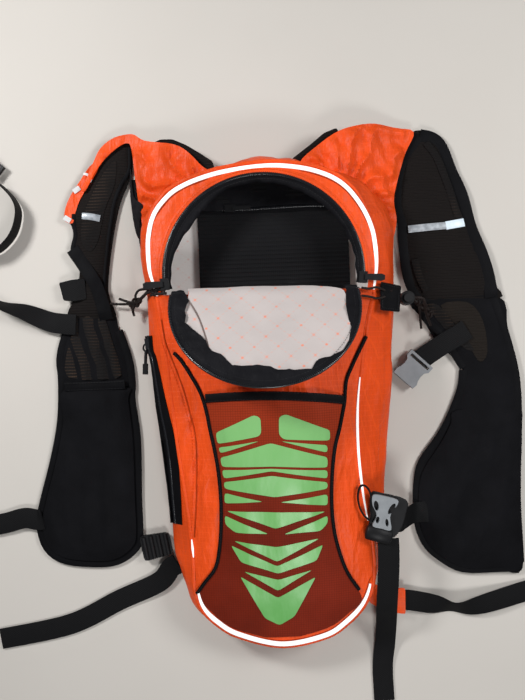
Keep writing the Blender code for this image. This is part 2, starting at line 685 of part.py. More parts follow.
def main():
    clear_scene()
    build_back()
    build_wall()
    height = build_front()
    build_pocket(height)
    build_main_zip()
    build_flap()
    build_main_sliders()
    wall = bpy.data.objects["side_wall"]
    work = bmesh.new()
    work.from_mesh(wall.data)
    tree = BVHTree.FromBMesh(work)
    work.free()

    def left_x(y):
        hits = [tree.ray_cast(Vector((-300, y, z)) * MM, Vector((1, 0, 0)))[0] for z in (19, 22, 24, 27, 29)]
        return min(hit.x for hit in hits) / MM

    def right_x(y, z):
        return tree.ray_cast(Vector((300, y, z)) * MM, Vector((-1, 0, 0)))[0].x / MM

    build_side_zip(left_x)
    build_inner_pocket()
    build_yokes()
    build_lower_straps()
    build_wing_left()
    build_wing_right()
    build_cords(right_x)


main()
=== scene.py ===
import math

import bmesh
import bpy
from mathutils import Matrix, Vector, noise
from mathutils.bvhtree import BVHTree


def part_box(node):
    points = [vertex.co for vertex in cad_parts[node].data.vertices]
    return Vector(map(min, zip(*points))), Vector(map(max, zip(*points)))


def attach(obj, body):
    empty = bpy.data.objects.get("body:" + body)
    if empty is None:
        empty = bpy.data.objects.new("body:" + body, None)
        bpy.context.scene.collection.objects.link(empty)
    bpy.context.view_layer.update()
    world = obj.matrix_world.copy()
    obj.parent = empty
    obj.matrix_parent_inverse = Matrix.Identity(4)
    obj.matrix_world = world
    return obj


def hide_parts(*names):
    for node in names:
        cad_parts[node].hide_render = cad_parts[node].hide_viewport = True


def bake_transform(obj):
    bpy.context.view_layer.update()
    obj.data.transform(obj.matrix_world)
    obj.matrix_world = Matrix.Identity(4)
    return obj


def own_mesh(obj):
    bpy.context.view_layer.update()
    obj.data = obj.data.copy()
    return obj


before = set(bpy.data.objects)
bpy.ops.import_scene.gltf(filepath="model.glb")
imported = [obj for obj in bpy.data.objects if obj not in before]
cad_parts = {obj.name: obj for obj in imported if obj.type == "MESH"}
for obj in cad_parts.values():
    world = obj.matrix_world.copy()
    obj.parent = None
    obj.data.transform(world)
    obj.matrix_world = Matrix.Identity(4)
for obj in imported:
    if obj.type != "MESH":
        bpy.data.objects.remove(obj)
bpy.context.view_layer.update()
MM = 0.001

# Camera, straight above the bag and turned a little about the vertical.
CAMERA_AT = (-0.0135, 0.0491, 0.730)
CAMERA_TURN = math.radians(-2.08)
CAMERA_LENS = 38.6

# Edges sharper than this, in degrees, stay hard: on the pieces, the linings and the buckles.
SHARP_ANGLE, LINING_ANGLE = 50, 40
BEVEL_ANGLE, SOFT_BEVEL_ANGLE = 35, 40

UP, DOWN = Vector((0, 0, 1)), Vector((0, 0, -1))
# Rays that look for a surface start this far above the floor.
ABOVE = 200.0

# The bag's outline at its widest and along the front seam, in millimetres, as in the CAD.
WALL_OUTLINE = [
    (-5, 229), (-30, 225), (-60, 217), (-89, 205), (-108, 190), (-121, 164), (-122, 127), (-118, 99),
    (-118, 66), (-114, 6), (-109, -40), (-105, -86), (-103, -124), (-102, -147), (-95, -170),
    (-85, -189), (-70, -206), (-49, -221), (-5, -229), (39, -222), (62, -208), (77, -191), (87, -171),
    (92, -147), (93, -124), (95, -86), (99, -40), (104, 6), (108, 66), (109, 99), (112, 127),
    (111, 164), (98, 190), (79, 205), (50, 217), (20, 225),
]
RIM_OUTLINE = [
    (-5, 217.5), (-30, 215.5), (-55, 211), (-80, 202.5), (-97, 191), (-110.5, 168), (-112.5, 127),
    (-106, 100), (-102, 66), (-97, 6), (-93, -40), (-88, -86), (-85, -124), (-84, -147), (-84, -170),
    (-79, -188), (-66, -203), (-46, -216), (-5, -227), (36, -220), (57, -207), (73, -190), (81, -170),
    (82, -147), (80, -124), (74, -86), (70.5, -40), (72, 6), (81, 66), (88, 99), (91.5, 127), (87, 162),
    (74, 189), (59, 203), (38, 212), (15, 216.5),
]
BASE_SCALE = (0.955, 0.978)
BASE_SHIFT = 5.0
WIDEST_AT = 0.45
WALL_FLOOR, WALL_T = 3.3, 1.8
WALL_LEVELS, WALL_CREASE = 18, 2.2
RIM_Z_TOP, RIM_Z_BOTTOM = 57.0, 30.0
RIM_SLOPE_FROM_Y, RIM_SLOPE_TO_Y = 95.0, -229.0
SAMPLES = 288

# The main opening, its zip and the flap's fold.
OPEN_X, OPEN_Y, OPEN_R, OPEN_Z = -10.0, 117.0, 93.3, 60.0
FOLD_Y, HINGE_Z = 102.0, 64.0
COIL_R, COIL_Z = 89.2, 61.2
COIL_START, COIL_END = -6, 186
FLAP_R = 84.0
FLAP_REST = math.radians(148.0)

POCKET_LEFT = [(-81, -173), (-62, -147), (-55, -102), (-56, -57), (-62, -20), (-66, 6)]
POCKET_RIGHT = [(70, -183), (53, -151), (43, -106), (45, -52), (53, -20), (58, 3)]

# The sunken seam in the front cloth, left of the pocket, from the flap down.
LEFT_SEAM = [
    (-103, 79.5), (-100.5, 60.7), (-96.8, 48.1), (-91.2, 32.3), (-85.6, 14.4), (-80.5, -8),
    (-77.5, -22), (-76.5, -36), (-78, -77), (-82, -120),
]

POCKET_BOTTOM_Y, POCKET_T = -217, 0.8
POCKET_ROWS, POCKET_COLS = 72, 44

# Straight pieces in the section of a band, along an arc and round an oval hole.
BAND_SIDES, ARC_STEPS, OVAL_SIDES = 10, 80, 22

WEB_W, WEB_T = 20.0, 1.5
CORD_R = 1.3

# Metres from thread to thread in the cloths.
RIPSTOP_PITCH, WEAVE_PITCH, POCKET_PITCH, WEBBING_PITCH = 0.0048, 0.0007, 0.0022, 0.0021

ORANGE = (0.83, 0.078, 0.008)
BLACK = (0.0034, 0.0034, 0.0042)
GREY_LINING = (0.50, 0.45, 0.435)
GREEN = (0.12, 0.37, 0.09)
DARK_RED = (0.15, 0.013, 0.004)

# Lamps as (name, place in metres, size, power).
LIGHTS = (("key", (-0.55, 0.42, 0.62), 0.16, 5.6), ("front", (0.10, -0.62, 0.85), 0.25, 3.6),
          ("fill", (0.62, 0.25, 0.70), 0.3, 4.6), ("back", (0.1, 1.0, 0.9), 0.9, 1.0))


# ---------------------------------------------------------------- node materials

class Graph:
    """A material's node tree with short calls for the few nodes used here."""

    def __init__(self, name, colour, roughness, **sockets):
        self.material = bpy.data.materials.new(name)
        self.material.use_nodes = True
        self.nodes = self.material.node_tree.nodes
        self.links = self.material.node_tree.links
        self.shader = self.nodes["Principled BSDF"]
        self.shader.inputs["Base Color"].default_value = (*colour, 1.0)
        self.shader.inputs["Roughness"].default_value = roughness
        for socket, value in sockets.items():
            self.shader.inputs[socket.replace("_", " ")].default_value = value
        self.place = self.nodes.new("ShaderNodeTexCoord").outputs["Object"]
        split = self.nodes.new("ShaderNodeSeparateXYZ")
        self.links.new(self.place, split.inputs[0])
        self.x, self.y, self.z = split.outputs

    def feed(self, socket, value):
        if isinstance(value, (int, float)):
            socket.default_value = value
        else:
            self.links.new(value, socket)

    def math(self, operation, first, second=0.0):
        made = self.nodes.new("ShaderNodeMath")
        made.operation = operation
        self.feed(made.inputs[0], first)
        self.feed(made.inputs[1], second)
        return made.outputs[0]

    def plus(self, first, second):
        return self.math("ADD", first, second)

    def minus(self, first, second):
        return self.math("SUBTRACT", first, second)

    def times(self, first, second):
        return self.math("MULTIPLY", first, second)

    def most(self, first, second):
        return self.math("MAXIMUM", first, second)

    def noise(self, scale, detail=3.0, stretch=(1, 1, 1)):
        mapped = self.nodes.new("ShaderNodeMapping")
        mapped.inputs["Scale"].default_value = stretch
        self.links.new(self.place, mapped.inputs["Vector"])
        made = self.nodes.new("ShaderNodeTexNoise")
        made.inputs["Scale"].default_value = scale
        made.inputs["Detail"].default_value = detail
        self.links.new(mapped.outputs[0], made.inputs["Vector"])
        return made.outputs["Fac"]

    def repeat(self, along, pitch):
        """Distance to the nearest line of a set, 0 on the line and 0.5 between lines."""
        wrapped = self.math("FRACT", self.plus(self.math("DIVIDE", along, pitch), 1000.5))
        return self.math("ABSOLUTE", self.minus(wrapped, 0.5))

    def ramp(self, value, start, end, low=0.0, high=1.0):
        made = self.nodes.new("ShaderNodeMapRange")
        for socket, number in (("From Min", start), ("From Max", end), ("To Min", low), ("To Max", high)):
            made.inputs[socket].default_value = number
        self.links.new(value, made.inputs["Value"])
        return made.outputs[0]

    def below(self, value, limit, soft=0.04):
        """1 under the limit, falling to 0 just over it."""
        return self.ramp(value, limit, limit + soft, 1.0, 0.0)

    def grid(self, across, along, pitch, width):
        """1 on the lines of a square grid, 0 between them."""
        first, second = self.repeat(across, pitch), self.repeat(along, pitch)
        return self.most(self.below(first, width), self.below(second, width))

    def mix(self, share, first, second):
        made = self.nodes.new("ShaderNodeMix")
        made.data_type = "RGBA"
        self.feed(made.inputs["Factor"], share)
        for socket, value in ((made.inputs[6], first), (made.inputs[7], second)):
            if isinstance(value, tuple):
                socket.default_value = (*value, 1.0)
            else:
                self.links.new(value, socket)
        return made.outputs[2]

    def colour(self, value):
        self.links.new(value, self.shader.inputs["Base Color"])

    def roughen(self, value):
        self.links.new(value, self.shader.inputs["Roughness"])

    def bump(self, height, strength, distance):
        made = self.nodes.new("ShaderNodeBump")
        made.inputs["Strength"].default_value = strength
        made.inputs["Distance"].default_value = distance
        self.links.new(height, made.inputs["Height"])
        previous = self.shader.inputs["Normal"].links
        if previous:
            self.links.new(previous[0].from_socket, made.inputs["Normal"])
        self.links.new(made.outputs[0], self.shader.inputs["Normal"])


def shade(colour, factor):
    """The colour made darker or lighter."""
    return tuple(min(1.0, c * factor) for c in colour)


def ripstop(name, colour):
    """Thin nylon: a fine weave, a thicker thread every few millimetres, sharp and soft creases, with painted
    shade in broad patches and along the creases.
    """
    g = Graph(name, colour, 0.46, Specular_IOR_Level=0.22)
    across = g.plus(g.x, g.z)
    lines = g.grid(across, g.y, RIPSTOP_PITCH, 0.045)
    # Painted shade: broad darker and lighter patches stand in for the shade of the folds.
    painted_fold_shade = g.noise(26, 5, (1, 0.6, 1))
    ridge = g.math("ABSOLUTE", g.minus(g.noise(20, 2.0, (1.5, 0.42, 1)), 0.5))
    crease = g.below(ridge, 0.0, 0.05)
    tone = g.mix(painted_fold_shade, shade(colour, 0.52), shade(colour, 1.22))
    # Painted shade: the colour is darkened along the crease lines.
    painted_crease_shade = g.mix(g.times(crease, 0.16), tone, shade(colour, 0.6))
    g.colour(g.mix(g.times(lines, 0.2), painted_crease_shade, shade(colour, 1.45)))
    weave = g.times(g.repeat(across, WEAVE_PITCH), g.repeat(g.y, WEAVE_PITCH))
    g.bump(weave, 0.25, 0.0003)
    g.bump(lines, 0.35, 0.0003)
    g.bump(g.noise(36, 4, (1.3, 0.5, 1)), 0.7, 0.0034)
    g.bump(g.noise(105, 3, (1.4, 0.5, 1)), 0.8, 0.0022)
    g.bump(crease, 0.45, 0.0010)
    return g.material


def knit(name, colour, through, row=0.0034, share=0.6, gap=0.16):
    """Open spacer mesh: rows of short slots that show what lies behind in some places."""
    g = Graph(name, colour, 0.85, Specular_IOR_Level=0.12)
    rows = g.below(g.repeat(g.y, row), gap, 0.12)
    stitches = g.below(g.repeat(g.x, row * 0.5), 0.2, 0.12)
    patch = g.below(g.noise(24, 3, (1, 0.45, 1)), 1.0 - share, 0.16)
    slots = g.times(rows, g.minus(1.0, patch))
    broken = g.times(slots, g.minus(1.0, g.times(stitches, 0.55)))
    g.colour(g.mix(g.times(broken, 0.85), colour, through))
    g.bump(rows, 0.8, 0.0007)
    g.bump(stitches, 0.4, 0.0003)
    return g.material


def plain_cloth(name, colour, pitch=0.0009, roughness=0.75, crease=0.5):
    """A plain woven black cloth whose colour is painted lighter and darker in patches, as painted light over
    its creases.
    """
    g = Graph(name, colour, roughness, Specular_IOR_Level=0.06)
    # Painted light and shade: random lighter and darker patches of colour stand in for light over the
    # creases.
    g.colour(g.mix(g.noise(40, 4), shade(colour, 0.6), shade(colour, 1.7)))
    g.bump(g.times(g.repeat(g.x, pitch), g.repeat(g.y, pitch)), 0.5, 0.0004)
    g.bump(g.noise(85, 4, (1.2, 0.8, 1)), crease, 0.0018)
    return g.material


def webbing_cloth(name, colour):
    """Narrow webbing: cross ribs in two offset columns."""
    g = Graph(name, colour, 0.66, Specular_IOR_Level=0.09)
    slant = g.plus(g.times(g.x, 0.8), g.y)
    other = g.minus(g.times(g.x, 0.8), g.y)
    ribs = g.times(g.repeat(slant, WEBBING_PITCH), g.repeat(other, WEBBING_PITCH))
    g.colour(g.mix(ribs, shade(colour, 0.5), shade(colour, 2.6)))
    g.bump(ribs, 0.9, 0.0009)
    g.bump(g.noise(60, 3), 0.3, 0.0008)
    return g.material


def printed_lining(name, dots=0.22, colour=GREY_LINING):
    """Grey lining with a small dotted diamond print."""
    g = Graph(name, colour, 0.6, Specular_IOR_Level=0.2)
    pitch = 0.0173
    down = g.plus(g.times(g.x, 0.85), g.y)
    up = g.minus(g.times(g.x, 0.85), g.y)
    u, v = g.repeat(down, pitch), g.repeat(up, pitch)
    spot = g.plus(g.times(u, u), g.times(v, v))
    beads = g.below(g.repeat(g.y, pitch / 7), 0.2, 0.1)
    lines = g.times(g.most(g.below(u, 0.02), g.below(v, 0.02)), beads)
    tone = g.mix(g.noise(18, 3), shade(colour, 0.88), shade(colour, 1.1))
    worn = g.times(g.noise(90, 2), 1.7)
    drawn = g.mix(g.times(lines, dots), tone, (0.75, 0.26, 0.16))
    share = g.times(g.below(spot, 0.003, 0.007), g.times(worn, dots * 3))
    g.colour(g.mix(share, drawn, (0.80, 0.20, 0.10)))
    g.bump(g.noise(35, 4), 0.5, 0.0016)
    return g.material


def pocket_cloth():
    """Dark see-through ripstop with the orange cloth glowing through, and painted light that makes it lighter
    and redder towards the top.
    """
    g = Graph("pocket cloth", DARK_RED, 0.6, Specular_IOR_Level=0.1)
    cells = g.grid(g.x, g.y, POCKET_PITCH, 0.09)
    tone = g.mix(g.noise(16, 4), shade(DARK_RED, 0.35), shade(DARK_RED, 1.75))
    # Painted light: the cloth is made lighter towards the top of the pocket.
    upper = g.ramp(g.y, -0.10, 0.01)
    lit = g.mix(g.times(upper, 0.6), tone, (0.42, 0.045, 0.010))
    g.colour(g.mix(g.times(cells, 0.4), lit, shade(DARK_RED, 0.45)))
    g.bump(cells, 0.3, 0.0003)
    g.bump(g.noise(30, 4), 0.6, 0.0025)
    return g.material


def rubber_print():
    """Soft green print, paler towards the top of the bag."""
    g = Graph("green rubber", GREEN, 0.4, Coat_Weight=0.25, Coat_Roughness=0.25, Specular_IOR_Level=0.35)
    base = g.mix(g.ramp(g.y, -0.20, -0.02), (0.085, 0.36, 0.06), (0.17, 0.42, 0.13))
    g.colour(g.mix(g.times(g.noise(24, 3, (1.6, 0.35, 1)), 0.5), base, (0.26, 0.56, 0.22)))
    g.bump(g.noise(30, 3, (1.4, 0.5, 1)), 0.7, 0.004)
    return g.material


def moulded(name, colour, roughness=0.42, shine=0.28):
    """Moulded plastic with a fine grain and an uneven gloss."""
    g = Graph(name, colour, roughness, Specular_IOR_Level=shine)
    g.colour(g.mix(g.noise(120, 3), shade(colour, 0.8), shade(colour, 1.2)))
    g.bump(g.noise(900, 2), 0.12, 0.0002)
    g.roughen(g.ramp(g.noise(60, 3), 0.0, 1.0, roughness - 0.07, roughness + 0.1))
    return g.material


def reflective(name, colour, glow):
    """Bright tape that throws light back, painted as a faint glow by an emission: painted light."""
    # Painted light: the emission makes the tape glow though it is no lamp.
    g = Graph(name, colour, 0.35, Emission_Strength=glow)
    g.shader.inputs["Emission Color"].default_value = (*colour, 1.0)
    beads = g.noise(700, 2)
    g.colour(g.mix(beads, shade(colour, 0.85), shade(colour, 1.1)))
    g.bump(beads, 0.2, 0.0002)
    return g.material


def worn_silver():
    """Silver tape whose film has flaked."""
    g = Graph("silver tape", (0.3, 0.33, 0.36), 0.35, Metallic=0.3)
    flakes = g.noise(260, 5)
    g.colour(g.mix(flakes, (0.10, 0.12, 0.14), (0.62, 0.66, 0.70)))
    g.bump(flakes, 0.4, 0.0004)
    return g.material


def braided(name, colour):
    """The braided cover of elastic cord."""
    g = Graph(name, colour, 0.6, Specular_IOR_Level=0.2)
    braid = g.repeat(g.plus(g.x, g.plus(g.y, g.z)), 0.0016)
    g.colour(g.mix(braid, shade(colour, 0.5), shade(colour, 2.2)))
    g.bump(braid, 0.8, 0.0004)
    return g.material


CLOTH = {
    "orange": ripstop("orange ripstop", ORANGE),
    "tape": plain_cloth("black tape", BLACK, 0.0008, 0.6, 0.35),
    "facing": plain_cloth("black facing", (0.007, 0.007, 0.0085), 0.0011, 0.55, 1.0),
    "black": plain_cloth("black stretch cloth", (0.0045, 0.0045, 0.0055)),
    "knit": knit("open knit", (0.008, 0.007, 0.007), (0.050, 0.033, 0.024), 0.0030, 0.5),
    "dense knit": knit("close knit", (0.0085, 0.0068, 0.0064), (0.022, 0.016, 0.013), 0.0026, 0.45),
    "inner": knit("inner mesh", (0.008, 0.008, 0.009), (0.035, 0.036, 0.038), 0.0040, 0.35),
    "web": webbing_cloth("webbing", (0.010, 0.010, 0.011)),
    "lining": printed_lining("printed lining"),
    # The wall lining is the grey lining cloth with a much lighter colour: painted light against the shade
    # deep inside the bag.
    "wall lining with painted light": printed_lining("wall lining with painted light", 0.10, (0.80, 0.775, 0.75)),
    "pocket": pocket_cloth(),
    "print": rubber_print(),
    "black plastic": moulded("black plastic", (0.007, 0.007, 0.008), 0.46, 0.2),
    # Black plastic coloured grey: a painted highlight on the lit tops of the buckles.
    "grey plastic": moulded("grey plastic", (0.23, 0.245, 0.26), 0.36),
    "zip": moulded("zip coil", (0.010, 0.011, 0.014), 0.24, 0.6),
    # The white piping and the bright silver tape glow by emission: painted light.
    "white": reflective("white piping", (0.95, 0.95, 0.95), 0.35),
    "bright silver": reflective("bright silver tape", (0.62, 0.72, 0.80), 0.1),
    "window": knit("see-through window", (0.010, 0.009, 0.009), (0.075, 0.046, 0.030), 0.0030, 0.55, 0.13),
    # A lighter brown knit that paints a sheen on the right vest: a painted highlight.
    "sheer": knit("painted sheen knit", (0.014, 0.011, 0.009), (0.032, 0.022, 0.015), 0.0026, 0.5),
    # Dark orange for painted shade: in the seam's groove and as a shadow just inside the piping.
    "orange seam": plain_cloth("orange seam", shade(ORANGE, 0.35), 0.0008),
    "lining shade": plain_cloth("lining shade", (0.16, 0.125, 0.115), 0.0009),
    "block": plain_cloth("white block", (0.6, 0.6, 0.6), 0.0009, 0.6),
    "silver": worn_silver(),
    "cord": braided("elastic cord", (0.014, 0.009, 0.008)),
    "thread": plain_cloth("thread", (0.02, 0.02, 0.022)),
    "orange thread": plain_cloth("orange thread", shade(ORANGE, 0.8)),
}

# The slot for each cloth, unless a piece says otherwise.
SLOTS = {
    "orange_fabric": ("orange", "orange seam", "orange thread"),
    "black_tape": ("tape", "facing", "thread"),
    "mesh": ("black", "knit", "dense knit", "inner", "window", "sheer"),
    "pocket_mesh": ("pocket", "print"),
    "lining": ("lining", "lining shade"),
    "webbing": ("web",),
    "white_piping": ("white", "block"),
    "reflector": ("silver", "bright silver"),
    "buckle_plastic": ("black plastic", "grey plastic"),
    "zip_plastic": ("zip",),
    "cord": ("cord",),
}
SLOT_OF = {cloth: slot for slot, cloths in SLOTS.items() for cloth in cloths}


# ---------------------------------------------------------------- shapes, in millimetres

def outward_mesh(name, verts, faces):
    """A mesh in metres whose faces all look outward."""
    mesh = bpy.data.meshes.new(name)
    mesh.from_pydata([Vector(v) * MM for v in verts], [], faces)
    work = bmesh.new()
    work.from_mesh(mesh)
    bmesh.ops.recalc_face_normals(work, faces=work.faces)
    work.to_mesh(mesh)
    work.free()
    return mesh


def linked(name, data):
    """A new object of the scene."""
    made = bpy.data.objects.new(name, data)
    bpy.context.collection.objects.link(made)
    return made


def shade_cloth(mesh, cloth, sharp_angle=SHARP_ANGLE):
    mesh.materials.append(CLOTH[cloth])
    mesh.shade_smooth()
    mesh.set_sharp_from_angle(angle=math.radians(sharp_angle))


def piece(name, verts, faces, cloth, body, *replaced, slot=None):
    """A finished piece on a body, in the place of the CAD nodes it replaces."""
    made = linked(name, outward_mesh(name, verts, faces))
    shade_cloth(made.data, cloth)
    if body:
        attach(made, body)
    slot = slot or SLOT_OF[cloth]
    if replaced:
        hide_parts(*replaced)
    return made


def unit(value):
    """The value kept between 0 and 1."""
    return max(0.0, min(1.0, value))


def around(count):
    """Equal angles round a full turn."""
    return [2 * math.pi * k / count for k in range(count)]


def waver(x, y, z, scale=1.0):
    """Smooth noise whose swells are about one scale apart."""
    return noise.noise(Vector((x, y, z)) / scale)


def loft(rings, closed_path=False):
    """A solid through rings of points, capped unless its path closes."""
    size = len(rings[0])
    verts = [p for ring in rings for p in ring]
    faces = []
    for r in range(len(rings) if closed_path else len(rings) - 1):
        a, b = r * size, ((r + 1) % len(rings)) * size
        faces += [(a + i, a + (i + 1) % size, b + (i + 1) % size, b + i) for i in range(size)]
    if not closed_path:
        faces.append(tuple(range(size)))
        faces.append(tuple(len(verts) - size + i for i in range(size)))
    return verts, faces


def prism(outline, low, high):
    """An outline pulled up between two heights."""
    return loft([[(x, y, z) for x, y in outline] for z in (low, high)])


def merge(solids):
    """Several solids as one."""
    verts, faces = [], []
    for more_verts, more_faces in solids:
        start = len(verts)
        verts += list(more_verts)
        faces += [tuple(start + i for i in face) for face in more_faces]
    return verts, faces


def moved(solid, place):
    """A solid carried to another place."""
    verts, faces = solid
    return [place @ Vector(v) for v in verts], faces


def spline(points, steps=6, closed=False):
    """A smooth curve through all the points."""
    pts = [Vector(p) for p in points]
    count = len(pts)
    out = []
    for i in range(count if closed else count - 1):
        if closed:
            a, b, c, d = (pts[(i + k) % count] for k in (-1, 0, 1, 2))
        else:
            a, b, c, d = (pts[min(max(i + k, 0), count - 1)] for k in (-1, 0, 1, 2))
        for s in range(steps):
            t = s / steps
            out.append(0.5 * ((2 * b) + (c - a) * t + (2 * a - 5 * b + 4 * c - d) * t ** 2
                              + (3 * b - 3 * c + d - a) * t ** 3))
    if not closed:
        out.append(pts[-1])
    return out


def flat_spline(points, steps=6, closed=False):
    return spline([(x, y, 0) for x, y in points], steps, closed)


def smooth_outline(points, steps=5, closed=True):
    return [(p.x, p.y) for p in flat_spline(points, steps, closed)]


def laid(line, height, lift):
    """A flat line set on a height function, lifted a little."""
    return [Vector((p.x, p.y, height(p.x, p.y) + lift)) for p in line]


def tangents(path, closed=False):
    """Unit directions along a path."""
    count = len(path)
    out = []
    for i in range(count):
        before = path[(i - 1) % count] if closed else path[max(i - 1, 0)]
        after = path[(i + 1) % count] if closed else path[min(i + 1, count - 1)]
        out.append((after - before).normalized())
    return out


def inward(ring, distance):
    """A flat ring drawn in by a distance."""
    out = []
    for p, t in zip(ring, tangents(ring, True)):
        flat = Vector((t.x, t.y, 0)).normalized()
        out.append(p + Vector((-flat.y, flat.x, 0)) * distance)
    return out


def band_profile(width, thick):
    """A flat oval: the section of webbing, tape and piping."""
    points = []
    for k in range(BAND_SIDES):
        a = 2 * math.pi * (k + 0.5) / BAND_SIDES
        c, s = math.cos(a), math.sin(a)
        points.append((width / 2 * math.copysign(abs(c) ** 0.35, c),
                       thick / 2 * math.copysign(abs(s) ** 0.6, s)))
    return points


def band(path, width, thick, side=None, turns=None, closed=False):
    """Sweep a flat oval along a path; width may be one number or a run of numbers."""
    path = [Vector(p) for p in path]
    rings = []
    for i, (p, t) in enumerate(zip(path, tangents(path, closed))):
        across = Vector(side) if side else t.cross(UP).normalized()
        across = (across - t * across.dot(t)).normalized()
        if turns:
            across = Matrix.Rotation(math.radians(turns[i]), 3, t) @ across
        up = across.cross(t).normalized()
        size = width if isinstance(width, (int, float)) else next(width)
        rings.append([p + across * a + up * b for a, b in band_profile(size, thick)])
    return loft(rings, closed_path=closed)


def tube(path, radius, sides=10, closed=False):
    """A round solid along a path."""
    path = [Vector(p) for p in path]
    rings = []
    for p, t in zip(path, tangents(path, closed)):
        across = t.cross(UP)
        across = across.normalized() if across.length > 1e-3 else Vector((1, 0, 0))
        up = across.cross(t)
        rings.append([p + (across * math.cos(a) + up * math.sin(a)) * radius for a in around(sides)])
    return loft(rings, closed_path=closed)


def walk(path, step):
    """Points at equal steps along a path, with their tangents."""
    out = []
    carried = 0.0
    for a, b in zip(path, path[1:]):
        length = (b - a).length
        while carried <= length and length > 0:
            out.append((a.lerp(b, carried / length), (b - a).normalized()))
            carried += step
        carried -= length
    return out


def hump(middle, along, length, height, thick, sides):
    """A short round bar that bulges upward between its ends."""
    rise = UP * height
    ends = [middle - along * length / 2, middle - along * length / 4 + rise,
            middle + along * length / 4 + rise, middle + along * length / 2]
    return tube(ends, thick / 2, sides)


def dashes(path, step=3.0, length=1.9, thick=0.45):
    """A row of stitches along a path."""
    line = [Vector(q) for q in path]
    return merge([hump(p, t, length, thick * 0.4, thick, 5) for p, t in walk(line, step)])


def edge_distance(outline):
    """A function for the distance of a point to an outline."""
    segments = [(Vector(a), Vector(b)) for a, b in zip(outline, outline[1:] + outline[:1])]

    def distance(x, y):
        point = Vector((x, y))
        best = 1e9
        for a, b in segments:
            along = b - a
            share = unit((point - a).dot(along) / max(along.length_squared, 1e-9))
            best = min(best, (a + along * share - point).length_squared)
        return math.sqrt(best)
    return distance


def draped(outline, height, thick, step=4.0, place=None):
    """A sheet cut to an outline, laid on a height function and given a thickness."""
    work = bmesh.new()
    work.faces.new([work.verts.new((x, y, 0)) for x, y in outline])
    xs, ys = [x for x, _ in outline], [y for _, y in outline]
    for axis, values in ((Vector((1, 0, 0)), xs), (Vector((0, 1, 0)), ys)):
        at = math.ceil(min(values) / step) * step
        while at < max(values):
            everything = work.verts[:] + work.edges[:] + work.faces[:]
            bmesh.ops.bisect_plane(work, geom=everything, plane_co=axis * at, plane_no=axis)
            at += step
    for v in work.verts:
        v.co.z = height(v.co.x, v.co.y)
    bmesh.ops.recalc_face_normals(work, faces=work.faces)
    if work.faces[:] and sum(f.normal.z for f in work.faces) < 0:
        bmesh.ops.reverse_faces(work, faces=work.faces)
    top = list(work.faces)
    made = bmesh.ops.extrude_face_region(work, geom=top, use_keep_orig=True)
    fresh = [g for g in made["geom"] if isinstance(g, bmesh.types.BMVert)]
    for v in fresh:
        v.co.z -= thick
    bmesh.ops.recalc_face_normals(work, faces=work.faces)
    work.verts.index_update()
    verts = [place @ v.co if place else v.co.copy() for v in work.verts]
    faces = [tuple(v.index for v in f.verts) for f in work.faces]
    work.free()
    return verts, faces


def tree_of(mesh, place=Matrix()):
    """A search tree of a mesh, in millimetres."""
    work = bmesh.new()
    work.from_mesh(mesh)
    work.transform(Matrix.Scale(1 / MM, 4) @ place)
    made = BVHTree.FromBMesh(work)
    work.free()
    return made


def hit_height(tree, x, y):
    """Height of the topmost face over a point, or None beside the mesh."""
    hit = tree.ray_cast(Vector((x, y, ABOVE)), DOWN)[0]
    return hit.z if hit else None


def height_over(tree):
    """Height of a surface, carried on as a slope just over the rim where the surface ends."""
    def height(x, y):
        found = hit_height(tree, x, y)
        return rim_z(y) + 2.0 if found is None else found
    return height


def ripple(x, y, z, scale, amount, stretch=(1, 1, 1)):
    """Soft creases: ridged noise around zero."""
    p = Vector((x * stretch[0], y * stretch[1], z * stretch[2])) / scale
    return amount * (0.55 - 2.2 * abs(noise.noise(p)) + 0.5 * noise.noise(p * 2.3 + Vector((7, 3, 1))))


# ---------------------------------------------------------------- the bag's shell

def rim_z(y):
    """Height of the wall's rim, which slopes down to the bottom of the bag."""
    share = max(0.0, min(1.02, (RIM_SLOPE_FROM_Y - y) / (RIM_SLOPE_FROM_Y - RIM_SLOPE_TO_Y)))
    return RIM_Z_TOP + (RIM_Z_BOTTOM - RIM_Z_TOP) * share


def resample_pair():
    """The widest and the rim outlines at matching equal steps."""
    wide = flat_spline(WALL_OUTLINE, 12, closed=True)
    rim = flat_spline(RIM_OUTLINE, 12, closed=True)
    lengths = [0.0]
    for a, b in zip(wide, wide[1:] + wide[:1]):
        lengths.append(lengths[-1] + (b - a).length)
    first, second = [], []
    at = 0
    for k in range(SAMPLES):
        goal = lengths[-1] * k / SAMPLES
        while lengths[at + 1] < goal:
            at += 1
        share = (goal - lengths[at]) / (lengths[at + 1] - lengths[at])
        following = (at + 1) % len(wide)
        first.append(wide[at].lerp(wide[following], share))
        second.append(rim[at].lerp(rim[following], share))
    return first, second


WIDE_RING, RIM_RING = resample_pair()
BASE_RING = [Vector(((p.x + BASE_SHIFT) * BASE_SCALE[0], p.y * BASE_SCALE[1], 0)) for p in WIDE_RING]


def wall_ring(share, inset=0.0, crease=0.0):
    """The wall's ring at a share of its height, through base, widest and rim."""
    w0 = (share - WIDEST_AT) * (share - 1) / WIDEST_AT
    w1 = share * (share - 1) / (WIDEST_AT * (WIDEST_AT - 1))
    w2 = share * (share - WIDEST_AT) / (1 - WIDEST_AT)
    ring = []
    for base, wide, rim in zip(BASE_RING, WIDE_RING, RIM_RING):
        p = base * w0 + wide * w1 + rim * w2
        p.z = WALL_FLOOR + (rim_z(rim.y) - WALL_FLOOR) * share
        ring.append(p)
    if not (inset or crease):
        return ring
    calm = math.sin(math.pi * share)
    out = []
    for p, q in zip(ring, inward(ring, 1.0)):
        push = inset - calm * ripple(p.x, p.y, p.z, 26, crease, (1, 0.55, 1.0))
        out.append(p + (q - p) * push)
    return out


